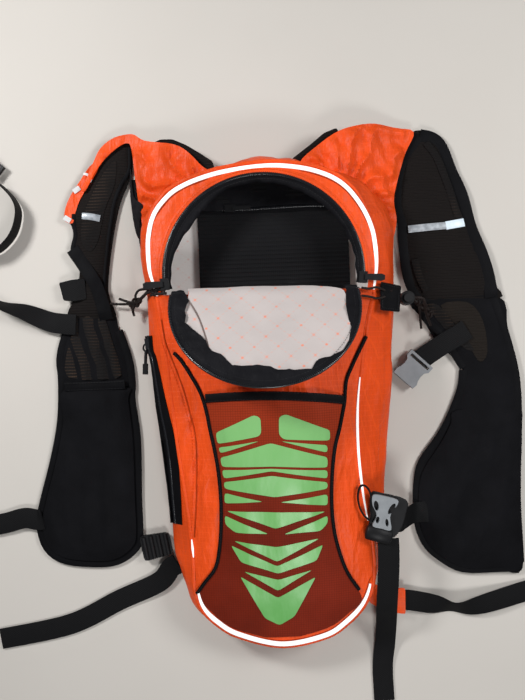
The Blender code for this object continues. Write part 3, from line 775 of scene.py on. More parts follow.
def build_wall():
    """The creased side wall with its thickness, and the seam at its base."""
    outer = [wall_ring(k / WALL_LEVELS, 0.0, WALL_CREASE) for k in range(WALL_LEVELS + 1)]
    inner = [wall_ring(k / 4, WALL_T) for k in range(4, -1, -1)]
    piece("bag_wall", *loft(outer + inner, closed_path=True), "orange", "bag", "side_wall")
    seam = wall_ring(0.10)
    piece("base_seam", *band(seam[::2], 3.4, 1.4, side=(0, 0, 1), closed=True), "tape", "bag")


def opening_point(angle):
    """The opening's edge at an angle: an arc, cut straight at the fold."""
    c, s = math.cos(angle), math.sin(angle)
    reach = OPEN_R
    if s < 0:
        reach = min(reach, (FOLD_Y - 1.0 - OPEN_Y) / s)
    return Vector((OPEN_X + reach * c, OPEN_Y + reach * s, OPEN_Z))


def ray_to_ring(ring, angle):
    """Where a ray from the opening's middle meets a ring."""
    c, s = math.cos(angle), math.sin(angle)
    for i, p in enumerate(ring):
        q = ring[(i + 1) % len(ring)]
        a = (p.x - OPEN_X) * s - (p.y - OPEN_Y) * c
        b = (q.x - OPEN_X) * s - (q.y - OPEN_Y) * c
        if a * b <= 0 and a != b:
            hit = p.lerp(q, a / (a - b))
            if (hit.x - OPEN_X) * c + (hit.y - OPEN_Y) * s > 0:
                return hit
    return None


def seam_groove(x, y):
    """1 along the sunken side seam at the left, falling to 0 a few millimetres off it."""
    if not LEFT_SEAM[-1][1] < y < LEFT_SEAM[0][1]:
        return 0.0
    for (x0, y0), (x1, y1) in zip(LEFT_SEAM, LEFT_SEAM[1:]):
        if y1 <= y <= y0:
            middle = x0 + (x1 - x0) * (y - y0) / (y1 - y0)
            return math.exp(-((x - middle) / 3.2) ** 2)
    return 0.0


def panel_crease(x, y):
    """Creases of the front cloth: slanting folds down both sides, small ones elsewhere."""
    left = max(0.0, 1 - abs(x + 86) / 24) * max(0.0, 1 - abs(y + 45) / 125)
    wander = waver(x, y, 0, 30)
    wave = math.sin(x * 0.27 - y * 0.075 + 2.6 * wander)
    folds = 5.4 * left * (0.6 - abs(wave) ** 0.8)
    right = max(0.0, 1 - abs(x - 86) / 30) * max(0.0, 1 - abs(y) / 165)
    wave = math.sin(x * 0.11 - y * 0.075 + 3.0 * waver(x, y, 5, 40))
    folds += 3.0 * right * (0.6 - abs(wave) ** 0.8)
    return folds - 2.4 * seam_groove(x, y) + ripple(x, y, 0, 30, 0.8)


def build_left_seam(ground):
    """The sunken seam left of the pocket, with a band of painted shade in its groove and a row of stitches
    beside it.
    """
    line = flat_spline(LEFT_SEAM, 8)
    # Painted shade: a dark orange band lies in the seam's groove.
    piece("side_seam", *band(laid(line, ground, 0.3), 1.2, 0.9), "orange seam", "bag")
    beside = laid([p - Vector((3.4, 0, 0)) for p in line], ground, 0.35)
    piece("side_seam_stitches", *dashes(beside, 3.0, 1.8, 0.4), "orange thread", "bag")


def build_panel():
    """The front cloth, spanned from the opening's edge to the rim."""
    edge = inward(RIM_RING, 1.4)
    corner = math.asin((FOLD_Y - 1.0 - OPEN_Y) / OPEN_R)
    angles = [math.atan2(p.y - OPEN_Y, p.x - OPEN_X) for p in RIM_RING]
    for exact in (corner, -math.pi - corner):
        gaps = [abs(math.atan2(math.sin(a - exact), math.cos(a - exact))) for a in angles]
        angles[gaps.index(min(gaps))] = exact
    steps = 40
    over = []
    for k in range(steps + 1):
        share = k / steps
        ring = []
        for a in angles:
            out = ray_to_ring(edge, a)
            low = Vector((out.x, out.y, rim_z(out.y) + 2.2))
            high = opening_point(a) + UP * 2.0
            p = low.lerp(high, share)
            p.z += 0.035 * (high - low).length * 4 * share * (1 - share)
            p.z += panel_crease(p.x, p.y) * min(1.0, 7 * share * (1 - share))
            ring.append(p)
        over.append(ring)
    under = [[p - UP * 1.2 for p in over[row]] for row in (steps, steps // 2, 0)]
    piece("front_cloth", *loft(over + under, closed_path=True), "orange", "bag", "front_panel")


def build_piping():
    """Bright piping where the rim shows it: the dome, the right side, the bottom and one short bit."""
    line = []
    for p, deep in zip(inward(RIM_RING, 0.4), inward(RIM_RING, 5.0)):
        share = unit((p.y - 150) / 45) * 0.9
        if p.y < -170:
            share = 0.6
        line.append(p.lerp(deep, share) + Vector((0, 0, rim_z(p.y) + 2.6 + 2.4 * share)))
    ends = ((lambda p: p.y > 97, 3.9), (lambda p: p.y < -168, 4.2),
            (lambda p: -112 < p.y < 24 and p.x > 0, 2.4), (lambda p: -141 < p.y < -122 and p.x < 0, 2.2))
    solids = []
    for inside, full in ends:
        marks = [inside(p) for p in line]
        first = next(i for i in range(SAMPLES) if marks[i] and not marks[i - 1])
        run = []
        while marks[(first + len(run)) % SAMPLES] and len(run) < SAMPLES:
            run.append(line[(first + len(run)) % SAMPLES])
        taper = min(9.0, len(run) / 2.5)
        sizes = [full * min(1.0, 0.45 + 0.55 * min(i, len(run) - 1 - i) / taper) for i in range(len(run))]
        solids.append(band(run, iter(sizes), 2.0))
    piece("seam_piping", *merge(solids), "white", "bag", "piping")
    edge = [p + Vector((0, 0, rim_z(p.y) + 1.3)) for p in inward(RIM_RING, -0.2)]
    piece("piping_welt", *band(edge[::2], 3.4, 1.4, closed=True), "orange", "bag")
    # Painted shadow: a thin dark orange band just inside the piping.
    under = [(p - Vector((p.x, p.y - 20, 0)).normalized() * 2.6) - UP * 0.7 for p in line]
    shown = [p for p in under if p.x > 0 or p.y > 90 or p.y < -150]
    start = next(i for i in range(len(shown)) if (shown[i] - shown[i - 1]).length > 20)
    path = shown[start:] + shown[:start]
    path = [p for p in path if p.x > -60 or p.y > 100 or p.y < -150]
    piece("piping_shadow", *band(path[::2], 0.9, 0.9), "orange seam", "bag")


# ---------------------------------------------------------------- front pocket

PRINT_SHAPES = [
    [(-58.0, -23.3), (-23.1, -8.0), (-17.5, -10.7), (-17.2, -23.9), (-19.7, -27.2), (-56.8, -33.3)],
    [(-1.2, -10.5), (4.6, -8.2), (44.1, -24.5), (43.8, -33.7), (2.2, -30.5), (-1.7, -26.2)],
    [(-56.1, -36.6), (-19.1, -31.3), (-54.7, -41.7)],
    [(-0.3, -32.0), (41.3, -37.7), (41.1, -44.4)],
    [(-54.9, -45.8), (-9.3, -33.4), (41.0, -48.6), (40.8, -57.8), (-8.4, -54.3), (-53.6, -53.9)],
    [(-53.7, -56.8), (-10.1, -56.2), (40.7, -60.3), (40.5, -67.8), (-9.4, -58.4), (-52.4, -64.4)],
    [(-52.5, -67.8), (-9.5, -62.6), (40.4, -71.2), (40.3, -77.1), (-7.7, -82.1), (-52.0, -73.7)],
    [(-52.1, -77.6), (-17.8, -86.0), (-52.6, -87.2)],
    [(-2.9, -86.9), (40.2, -82.2), (39.9, -92.4)],
    [(-51.2, -94.1), (38.1, -97.9), (-7.9, -111.1)],
    [(-53.0, -98.3), (-13.9, -116.0), (-43.7, -114.0), (-52.6, -106.8)],
    [(39.7, -101.7), (-0.6, -116.5), (32.7, -115.2), (39.5, -108.6)],
    [(-45.7, -121.7), (-7.6, -128.3), (31.7, -122.0), (-7.3, -142.1)],
    [(-48.4, -125.9), (-7.4, -146.5), (34.9, -128.1), (28.6, -142.6), (-6.8, -153.4), (-39.9, -141.8)],
    [(-37.7, -150.5), (-7.0, -159.5), (24.2, -151.1), (-7.4, -170.0)],
    [(-41.2, -155.3), (-7.6, -177.0), (27.4, -157.9), (6.9, -196.1), (-6.9, -204.5), (-20.1, -196.9)],
]

BINDING_END_LEFT = [(-70, 12), (-78, 28), (-86.5, 42), (-93, 49.5)]
BINDING_END_RIGHT = [(60.5, 18.3), (66.5, 32.4), (74, 47), (80, 58)]


def between(points, y):
    """The x of a line of points at a given y."""
    for (x0, y0), (x1, y1) in zip(points, points[1:]):
        if y0 <= y <= y1:
            return x0 + (x1 - x0) * (y - y0) / (y1 - y0)
    return points[0][0] if y < points[0][1] else points[-1][0]


def hem_line(share):
    """Height of the hem's middle across the pocket: arched, lower at the right."""
    return 6.6 + 9.2 * share - 15.0 * share ** 2


def build_pocket(ground):
    """Bulging pocket cloth, its green rubber print, hem and curved bindings."""
    left = smooth_outline([(-20, POCKET_BOTTOM_Y), (-50, -207), (-68, -192)] + POCKET_LEFT, 6, closed=False)
    right = smooth_outline([(12, POCKET_BOTTOM_Y), (40, -209), (58, -196)] + POCKET_RIGHT, 6, closed=False)
    rows, cols = POCKET_ROWS, POCKET_COLS
    top = []
    for r in range(rows + 1):
        line = []
        for c in range(cols + 1):
            share = c / cols
            top_y = hem_line(share) + 1.0
            y = POCKET_BOTTOM_Y + (top_y - POCKET_BOTTOM_Y) * r / rows
            x0, x1 = between(left, y), between(right, y)
            x = x0 + (x1 - x0) * share
            puff = 5.0 * math.sin(math.pi * min(r / rows * 0.72, 1.0)) ** 0.6 * (1 - abs(2 * share - 1) ** 3)
            calm = min(1.0, 6 * share * (1 - share)) * min(1.0, 0.2 + r / 20)
            z = ground(x, y) + 1.0 + puff + calm * ripple(x, y, 0, 34, 0.9, (1, 0.6, 1))
            line.append(Vector((x, y, z)))
        top.append(line)
    rings = [line + [p - UP * POCKET_T for p in reversed(line)] for line in top]
    piece("pocket_cloth", *loft(rings), "pocket", "bag", "front_pocket")

    points = [p for line in top for p in line]
    corners = [r * (cols + 1) + c for r in range(rows) for c in range(cols)]
    quads = [(at, at + 1, at + cols + 2, at + cols + 1) for at in corners]
    tree = BVHTree.FromPolygons(points, quads)

    def on_pocket(x, y):
        found = hit_height(tree, x, y)
        return (ground(x, y) + 1.0 if found is None else found) + 0.5

    solids = [draped(rounded(shape, 2.6), on_pocket, 0.5, 4.0) for shape in PRINT_SHAPES]
    piece("rubber_print", *merge(solids), "print", "bag")

    hem = [(p.x, p.y, p.z + 0.7) for p in top[-1]]
    piece("pocket_hem_band", *band(hem, 8.0, 1.4, side=(0, 1, 0)), "tape", "bag", "pocket_hem")
    seams = [[(x, y + d, z + 0.7) for x, y, z in hem] for d in (-2.9, 2.9)]
    piece("hem_stitches", *merge([dashes(s) for s in seams]), "thread", "bag")
    for side, points, ends in (("left", left, BINDING_END_LEFT), ("right", right, BINDING_END_RIGHT)):
        outward = -1.2 if side == "left" else 1.2
        route = [(x + outward, y) for x, y in points if -176 < y < 1][::3] + ends
        route = [(p.x, p.y) for p in flat_spline(route, 4)]
        line = [Vector((x, y, max(ground(x + d, y) for d in (-2, 0, 2)) + 1.4)) for x, y in route]
        piece("binding_tape_" + side, *band(line, 3.2, 1.3), "tape", "bag", "binding_" + side)
        piece("binding_stitch_" + side, *dashes([p + UP * 0.75 for p in line], 2.6, 1.5, 0.4), "thread",
              "bag")


def rounded(points, radius):
    """Cut each corner of an outline with a short curve."""
    out = []
    count = len(points)
    for i in range(count):
        before, here, after = (Vector(points[(i + k) % count]) for k in (-1, 0, 1))
        a = here + (before - here).normalized() * min(radius, (before - here).length * 0.4)
        b = here + (after - here).normalized() * min(radius, (after - here).length * 0.4)
        for share in (0.0, 0.5, 1.0):
            p = a * (1 - share) ** 2 + here * 2 * share * (1 - share) + b * share ** 2
            out.append((p.x, p.y))
    return out


# ---------------------------------------------------------------- zips

# Edge of the printed lining on the folded flap, in the flap's own plane.
LINING_EDGE = [
    (-68.4, -5.0), (-42.9, -5.2), (0.3, -5.3), (45.8, -2.9), (66.3, 0.5), (73.6, 4.5), (75, 13.3),
    (74.1, 22.7), (75.5, 35.1), (77, 42.8), (73.5, 56.1), (67.7, 65.4), (55.5, 71.3), (44.3, 73.7),
    (40.8, 79.3), (38.8, 82.7), (24.2, 82.8), (9.6, 82.2), (3.6, 79.1), (-8.5, 77.5), (-21.9, 77.4),
    (-29.9, 77), (-34.1, 71.8), (-40.2, 65.1), (-47.7, 62.6), (-50.8, 58.1), (-53.3, 52.1),
    (-57.8, 46.7), (-65.4, 39.6), (-72.6, 32.4), (-71.5, 25.6), (-72.9, 20.1), (-69.3, 10),
    (-67.8, -1.1),
]


def arc_path(radius, start, end, z, centre=(OPEN_X, OPEN_Y)):
    """Points along an arc, from one angle in degrees to another."""
    out = []
    for k in range(ARC_STEPS + 1):
        a = math.radians(start + (end - start) * k / ARC_STEPS)
        out.append(Vector((centre[0] + radius * math.cos(a), centre[1] + radius * math.sin(a), z)))
    return out


def teeth(path, pitch=1.7, size=(2.6, 1.1, 1.7)):
    """The turns of a zip coil, as small rounded lumps across the path."""
    length, thick, height = size
    return merge([hump(p, t.cross(UP).normalized(), length, height * 0.42, thick, 6)
                  for p, t in walk(path, pitch)])


def build_opening():
    """Orange lip, zip coil and the black facing that runs down inside the opening."""
    route = arc_path(COIL_R, COIL_START, COIL_END, COIL_Z + 0.7)
    solids = [tube(arc_path(COIL_R, COIL_START, COIL_END, COIL_Z), 1.0), teeth(route)]
    piece("main_coil", *merge(solids), "zip", "bag", "main_zip_coil")
    rings, lips = [], []
    for k in range(241):
        angle = -7 + 194 * k / 240
        a = math.radians(angle)
        wave = 1.2 * waver(angle / 6, 0, 0)
        fold = 0.5 * waver(angle / 2.2, 3, 0)
        wide = max(0.0, 1 - abs(angle - 142) / 30) + 0.3 * max(0.0, 1 - abs(angle - 60) / 40)
        reach = 2.6 + 5.5 * wide + wave
        facing = [
            (93.0, 60.9), (88.4, 60.3), (87.2, 59.4 + fold), (86.8 - reach * 0.6, 58.6 + fold),
            (86.6 - reach, 57.4 - fold), (85.8 - reach, 55.0), (86.0 - reach * 0.6, 56.8), (88.0, 58.6),
            (93.0, 60.1),
        ]
        lip = [(95.6, 61.4), (94.4, 62.6), (92.0, 62.9), (90.4, 62.2), (90.5, 61.3), (93.4, 61.2)]
        for section, out in ((facing, rings), (lip, lips)):
            out.append([(OPEN_X + r * math.cos(a), OPEN_Y + r * math.sin(a), z) for r, z in section])
    piece("opening_facing", *loft(rings), "facing", "bag", "main_zip_tape")
    piece("opening_lip", *loft(lips[5:-5]), "orange", "bag")
    inner = [p + UP * -1.5 for p in arc_path(85.2, -5, 185, COIL_Z)]
    piece("facing_stitches", *dashes(inner, 2.8, 1.7, 0.45), "thread", "bag")
    margin = arc_path(93.0, -2, 182, COIL_Z + 1.95)
    piece("opening_stitches", *dashes(margin, 2.8, 1.8, 0.4), "orange thread", "bag")
    for side in ("left", "right"):
        soften("main_slider_" + side, "black plastic", 0.5)
        soften("main_pull_" + side, "black plastic", 0.4)


def flap_place():
    """Carries the flap from its own plane to its folded place."""
    return Matrix.Translation((OPEN_X, FOLD_Y, HINGE_Z)) @ Matrix.Rotation(FLAP_REST, 4, "X")


def disc(radius, start_y, steps=96):
    """The flap's outline: an arc above a straight fold."""
    middle = OPEN_Y - FOLD_Y
    first = -math.asin(min(1.0, (middle - start_y) / radius))
    out = []
    for k in range(steps + 1):
        a = first + (math.pi - 2 * first) * k / steps
        out.append((radius * math.cos(a), middle + radius * math.sin(a)))
    return out


def build_flap():
    """Outer cloth, printed lining with a loose fold, wavy black tape and the coil at the edge."""
    place = flap_place()
    middle = OPEN_Y - FOLD_Y

    def sag(x, y):
        return 0.9 * waver(x, y, 3, 26) + 0.4 * waver(x, y, 9, 9)

    def crimped(x, y):
        a = math.atan2(y - middle, x)
        edge = unit((FLAP_R - math.hypot(x, y - middle)) / 9)
        crimps = 1.5 * waver(a * 11, 0, 4) + 1.3 * waver(x, y, 5, 5)
        return -1.2 - 0.9 * edge - edge * crimps

    shell = draped(disc(FLAP_R - 2.4, 3.4), lambda x, y: 1.7 + 0.5 * sag(x, y), 0.9, 6.0, place)
    piece("flap_cloth", *shell, "orange", "flap", "flap_shell")

    def lining_height(x, y):
        roll = 2.4 * (max(0.0, 4 - y) / 9) ** 2
        fold = unit((-46 - x + (y - 50) * 0.42) / 9) * unit((y - 6) / 10)
        return -1.1 + 0.8 * sag(x, y) + roll + 1.2 * fold

    outline = [(0.968 * x - 1.0, 1.03 * y) for x, y in LINING_EDGE]
    lining = draped(smooth_outline(outline, 2), lining_height, 0.5, 3.0, place)
    piece("flap_lining_cloth", *lining, "lining", "flap", "flap_lining")
    hem = [(-67, -4.6), (-43, -5.0), (0, -5.1), (46, -2.7), (66, 0.3), (68, 4.2), (-68, 4.2)]
    fold = draped(hem, lambda x, y: max(1.6, lining_height(x, y) + 1.7), 0.8, 3.0, place)
    piece("flap_fold_hem", *fold, "orange", "flap")
    seam = [Vector((x, y, lining_height(x + 1, y) - 0.5))
            for x, y in ((-67, 9), (-58, 27), (-51.5, 48), (-49, 60))]
    piece("lining_seam", *moved(band(spline(seam, 6), 1.4, 0.9), place), "lining shade", "flap")

    outer = disc(FLAP_R - 0.4, 0.8, steps=110)
    inner = [(-72, 1.0)] + [(x, y) for x, y in reversed(outline[6:]) if y > 4] + [(73, 1.0)]
    tape = draped(outer + [(x * 0.985 + 0.6, y * 0.985) for x, y in inner], crimped, 0.7, 3.0, place)
    piece("flap_tape", *tape, "facing", "flap", "flap_zip_tape")

    start = -math.degrees(math.asin((middle - 2.6) / FLAP_R))
    route = arc_path(FLAP_R - 0.6, start, 180 - start, 0.0, (0, middle))
    solid = merge([tube(route, 1.15), teeth([p + UP * -2.2 for p in route], 1.7, (2.4, 1.1, -1.6))])
    piece("flap_coil", *moved(solid, place), "zip", "flap")
    row = arc_path(FLAP_R - 5.2, start + 2, 178 - start, -2.7, (0, middle))
    piece("flap_stitches", *moved(dashes(row, 2.8, 1.8, 0.45), place), "thread", "flap")

    for side, lean in (("left", -1), ("right", 1)):
        path = [(lean * (72 + 1.2 * k), 1.0 - 0.5 * math.sin(k), -0.4 - 0.9 * math.sin(k * 0.5))
                for k in range(9)]
        gather = moved(tube(path, 2.7, 10), place)
        piece("tape_gather_" + side, *gather, "facing", "flap")


def add_bevel(made, width, angle=BEVEL_ANGLE):
    """Rounds the edges sharper than an angle."""
    bevel = made.modifiers.new("edge", "BEVEL")
    bevel.width = width * MM
    bevel.segments = 3
    bevel.limit_method = "ANGLE"
    bevel.angle_limit = math.radians(angle)


def soften(node, cloth, width=0.5):
    """Keep a CAD node, round its edges and give it a finished material."""
    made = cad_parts[node]
    add_bevel(made, width, SOFT_BEVEL_ANGLE)
    for slot in made.material_slots:
        slot.link = "OBJECT"
        slot.material = CLOTH[cloth]


def build_inside():
    """Inner mesh pocket with its zip, the back lining and the wall lining."""
    outline = rounded([(-70.5, 105), (-70.5, 150), (-71, 188), (-61, 201), (-36, 211), (-5, 214.5),
                       (26, 211), (54, 200), (68, 184), (72, 168), (72, 105)], 3)

    def sagging(x, y):
        return 17.2 + 2.0 * unit((y - 181) / 8) + ripple(x, y, 0, 34, 0.9)

    sheet = draped(outline, sagging, 0.9, 5.0)
    piece("inner_mesh", *sheet, "inner", "bag", "inner_pocket")
    # Painted shade: a black sheet over the top of the back lining, where the lining lies in shade.
    cover = [
        (-70, 183), (-61, 200), (-36, 211), (-5, 214), (26, 211), (54, 200), (68, 184), (20, 186),
        (-30, 184),
    ]
    upper = draped(smooth_outline(cover, 3), lambda x, y: 19.9 + ripple(x, y, 0, 26, 1.2), 0.9, 5.0)
    piece("inner_upper", *upper, "facing", "bag", slot="lining")
    low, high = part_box("inner_zip_tape")
    y, z = (low[1] + high[1]) / 2 / MM, high[2] / MM
    tape = [Vector((x, y + 0.7 * math.sin(x / 19), z - 0.2)) for x in range(-69, 72, 5)]
    piece("inner_zip_band", *band(tape, 9.5, 0.8), "tape", "bag", "inner_zip_tape")
    piece("inner_zip_teeth", *teeth([p + UP * 0.3 for p in tape], 1.6, (2.4, 1.0, 0.9)), "zip", "bag")
    soften("inner_slider", "black plastic", 0.8)
    soften("inner_pull", "black plastic", 0.5)
    # Both inner linings take the lighter wall lining colour, which is painted light.
    for node in ("wall_lining", "back_lining"):
        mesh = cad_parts[node].data
        mesh.materials.clear()
        shade_cloth(mesh, "wall lining with painted light", LINING_ANGLE)
    for node, cloth in (("back_mesh", "knit"), ("back_foam", "black")):
        soften(node, cloth, 0.6)


def build_side_zip():
    """Zip strip that widens downwards on the left wall, its slider and its corded grip."""
    soften("side_zip_tape", "tape", 0.3)
    wall = tree_of(bpy.data.objects["bag_wall"].data)
    outer = [
        (-119.4, 66), (-119.2, 53), (-115.4, 45), (-112.2, 20.5), (-110.3, -5.5), (-107.6, -23),
        (-104.9, -47), (-103.6, -81), (-101.8, -110),
    ]
    inner = [
        (-114.5, 66), (-113.9, 53), (-110.8, 45), (-106.0, 20.2), (-100.7, -6), (-97.2, -23.3),
        (-94.2, -47.2), (-93.4, -81.7), (-93.6, -110),
    ]
    outer = [p + Vector((-3.4, 0, 0)) for p in flat_spline(outer, 6)]
    inner = flat_spline(inner, 6)
    rings = []
    for a, b in zip(outer, inner):
        upper, lower = [], []
        for k in range(6, -1, -1):
            p = a.lerp(b, k / 6)
            found = hit_height(wall, p.x, p.y)
            z = z - 1.5 if found is None else found
            upper.append(Vector((p.x - 0.35, p.y, z + 0.9 + (0.8 if k in (0, 1) else 0.0))))
            lower.append(Vector((p.x, p.y, z - 0.6)))
        rings.append(upper[::-1] + lower)
    piece("side_zip_strip", *loft(rings), "tape", "bag")
    middle = [(ring[2] + ring[3]) / 2 + UP * 0.3 for ring in rings]
    piece("side_zip_teeth", *merge([tube(middle, 0.8, 8), teeth(middle, 1.6, (2.2, 1.0, 1.0))]), "zip", "bag")
    inside = [ring[6] + Vector((1.7, 0, 0.2)) for ring in rings]
    piece("side_zip_stitches", *dashes(inside, 3.0, 1.8, 0.4), "orange thread", "bag")
    soften("side_slider", "zip", 0.8)
    low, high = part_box("side_pull")
    centre = Vector(((low[0] + high[0]) / 2, 0, (low[2] + high[2]) / 2)) / MM
    start, end = high[1] / MM, low[1] / MM
    x0, z0 = centre.x, centre.z
    ring_path = [Vector((x0 + 2.4 * math.cos(a), start - 3 + 3.4 * math.sin(a), z0 + 0.3))
                 for a in around(18)]
    line = spline([(x0, start - 5, z0), (x0 - 0.6, start - 12, z0), (x0 - 1.0, start - 20, z0)], 5)
    cordlet = tube(line, 1.5, 10)
    line = [(x0 - 1.0 - d * 0.05, start - 18 - d, z0) for d in range(0, int(start - end - 18), 2)]
    grip = band(line, 5.2, 3.0, side=(1, 0, 0))
    solids = [tube(ring_path, 0.9, 8, closed=True), cordlet, grip]
    piece("side_pull_grip", *merge(solids), "black plastic", "side_pull", "side_pull")


# ---------------------------------------------------------------- harness

LEFT_YOKE = [
    (-51, 217), (-62, 221), (-78, 238), (-92, 246), (-118, 252), (-131, 260), (-148, 258), (-162, 248),
    (-170, 233), (-177, 218), (-182, 210), (-178, 208), (-168, 225), (-158, 238), (-146, 248),
    (-137, 252), (-132, 246), (-129, 213), (-126.5, 189), (-124, 162), (-117, 160), (-104, 190),
    (-80, 206), (-55, 216),
]
RIGHT_YOKE = [
    (28, 223), (45, 238), (66, 251), (95, 259), (118, 257), (139, 253), (130, 232), (121, 205),
    (117, 187), (119, 168), (114, 150), (107, 155), (96, 186), (70, 207), (40, 217),
]
NECK_EDGES = {
    "left": [(-50, 212), (-62, 215), (-78, 229), (-92, 238), (-106, 243), (-118, 248), (-104, 253.5),
             (-92, 252.5), (-79, 246), (-66, 237), (-54, 228)],
    "right": [(24, 221), (40, 233), (56, 246), (66, 251), (64, 256), (52, 251), (38, 240), (20, 227)],
}
LEFT_SHOULDER = [
    (-134, 254), (-150, 250), (-165, 239), (-177, 218), (-192, 194), (-196, 184), (-192, 166),
    (-196, 150), (-188, 136), (-190, 118), (-195, 104), (-199, 86), (-156, 84), (-161, 112),
    (-155, 158), (-146, 196), (-134, 225),
]
LEFT_VEST = [
    (-197, 92), (-200, 78), (-206, 64), (-210, 46), (-209, 27), (-211, -11), (-219, -49), (-230, -87),
    (-235, -111), (-229, -135), (-211, -148), (-177, -152), (-158, -149), (-143, -138), (-139, -124),
    (-139, -90), (-138, -33), (-142, 6), (-141, 20), (-143, 44), (-152, 73), (-159, 92),
]
RIGHT_SHOULDER = [
    (138, 254), (155, 253), (169, 235), (177, 206), (190, 167), (204, 142), (212, 108), (216, 90),
    (136, 90), (130, 102), (124, 121), (122.5, 140), (121.5, 168), (121.5, 196), (126, 227),
]
RIGHT_VEST = [
    (215, 94), (225, 60), (233, 21), (236, -8), (234, -46), (230, -104), (231, -171), (207, -172),
    (173, -171), (150, -159), (136, -144), (129, -119), (130, -86), (136, -67), (154, -43), (164, -25),
    (177, 4), (180, 23), (168, 38), (157, 48), (144, 72), (134, 94),
]
LEFT_VEST_POCKET = [
    (-206, 18), (-208, -11), (-216, -49), (-227, -87), (-232, -111), (-226, -133), (-210, -145),
    (-177, -149), (-159, -146), (-146, -136), (-142, -124), (-142, -90), (-142, -33), (-145, 6),
    (-146, 18),
]
RIGHT_VEST_POCKET = [
    (231, -16), (231, -46), (227, -104), (228, -167), (206, -169), (174, -168), (152, -156),
    (139, -142), (132, -119), (133, -88), (139, -70), (156, -46), (166, -28), (172, -16),
]

# Tapes on the harness as (name, width, height over the panel, line).
LEFT_SHOULDER_TAPES = (
    ("shoulder_edge_left_in", 3.4, 0.1,
     [(-135, 250), (-136, 228), (-144, 214), (-151, 198), (-155, 180), (-159, 158), (-164, 120),
      (-164, 104), (-161, 86)]),
    ("shoulder_edge_left_out", 4.5, 0.3,
     [(-150, 246), (-165, 234), (-178, 216), (-189, 195), (-191, 180), (-190, 166), (-193, 154),
      (-190, 146)]),
    ("shoulder_twist_left", 13, 1.6, [(-193, 153), (-184, 139), (-172, 119), (-165, 96), (-163, 84)]),
)
RIGHT_VEST_TAPES = (
    ("vest_edge_right_in", 8, 0.5,
     [(180, 23), (177, 4), (166, -22), (155, -41), (137, -65), (131.5, -86), (130.5, -119),
      (137, -142), (151, -157), (173, -169), (207, -170), (229, -169)]),
    ("vest_edge_right_out", 8, 0.5,
     [(211, 92), (220, 62), (229, 24), (231, -8), (230, -46), (227, -104), (228, -165)]),
    ("vest_edge_right_top", 7, 0.6,
     [(139, 90), (145, 74), (156, 62), (164, 52), (172, 38), (180, 25)]),
)
# The same with the cloth and the CAD parts in whose place they stand, before the line.
RIGHT_SHOULDER_BANDS = (
    ("shoulder_edge_right_in", 10, 0.5, "tape", (),
     [(144, 250), (135, 236), (127, 220), (123, 197), (122.5, 180), (126, 165), (126, 150),
      (127, 135), (130, 112), (138, 92), (142, 84)]),
    ("shoulder_edge_right_out", 13, 0.6, "tape", (),
     [(146, 250), (158, 247), (166, 238), (174, 216), (184, 191), (192, 158), (202, 130),
      (207, 111), (209, 92)]),
    ("shoulder_rib_right_a", 7, 0.8, "knit", (),
     [(151, 243), (161, 228), (170, 204), (178, 176), (181, 168)]),
    ("shoulder_rib_right_b", 7, 0.8, "knit", (), [(136, 131), (140, 114), (146, 100)]),
    ("reflector_cloth_right", 7, 1.2, "silver", ("reflector_right",),
     [(131, 160.2), (150, 161.4), (169, 162.4)]),
    ("reflector_bright_right", 8, 1.3, "bright silver", (), [(167, 162.2), (177, 163.6), (185, 165)]),
)
# Plain white blocks on the outer face, as (width, line).
OUTER_MARKS = (
    (2.4, [(-180, 225), (-176, 224), (-173, 219), (-176, 216)]),
    (5.0, [(-190, 208), (-184, 212)]),
    (5.0, [(-200, 184), (-194, 180)]),
)


def puffed(outline, base, crown, reach, crease, stretch=(1, 0.6, 1)):
    """Height of a soft panel: thin at its edge, crowned inside, a little creased."""
    distance = edge_distance(outline)

    def height(x, y):
        share = min(1.0, distance(x, y) / reach)
        return base + crown * math.sin(share * math.pi / 2) + share * ripple(x, y, 0, 28, crease, stretch)
    return height


def soft_panel(part, side, outline, cloth, base, crown, crease):
    """A puffed panel of the harness in the place of the CAD part; returns its height function."""
    shape = smooth_outline(outline, 4)
    height = puffed(shape, base, crown, 14, crease)
    body = "harness_" + side
    piece(f"{part}_cloth_{side}", *draped(shape, height, 1.6), cloth, body, f"{part}_{side}")
    return height


def patch(name, outline, height, lift, cloth, body, *replaced, thick=0.6, step=3.0, steps=3):
    """A smaller sheet lying on a panel."""
    shape = smooth_outline(outline, steps)
    sheet = draped(shape, lambda x, y: height(x, y) + lift, thick, step)
    piece(name, *sheet, cloth, body, *replaced)


def trim(name, points, width, lift, height, body, cloth="tape", replaced=(), steps=5):
    """Tape sewn along a line on a panel."""
    path = laid(flat_spline(points, steps), height, lift)
    piece(name, *band(path, width, 1.5), cloth, body, *replaced)


def gathered(distance, reach, sign):
    """Height of a yoke: folds fan out from the bag's corner and fall towards the shoulder."""
    def height(x, y):
        out = unit((abs(x) - 70) / (reach - 60))
        share = min(1.0, distance(x, y) / 6)
        fan = math.atan2(y - 176, (abs(x) - 60) + 1e-6)
        far = min(1.0, math.hypot(abs(x) - 60, y - 176) / 36)
        wave = fan * 9.5 + 2.4 * waver(x, y, sign * 9, 26)
        sharp = 1 - abs(math.sin(wave)) ** 0.7
        folds = (5.2 * sharp - 2.0) * far
        small = 1.8 * math.sin(x * 0.33 * sign + y * 0.21 + 3 * waver(x, y, sign * 4, 18))
        lift = 1.5 + folds + small * (1 - far * 0.5) + ripple(x, y, sign, 18, 0.6)
        return 31 - 21 * out + share * lift
    return height


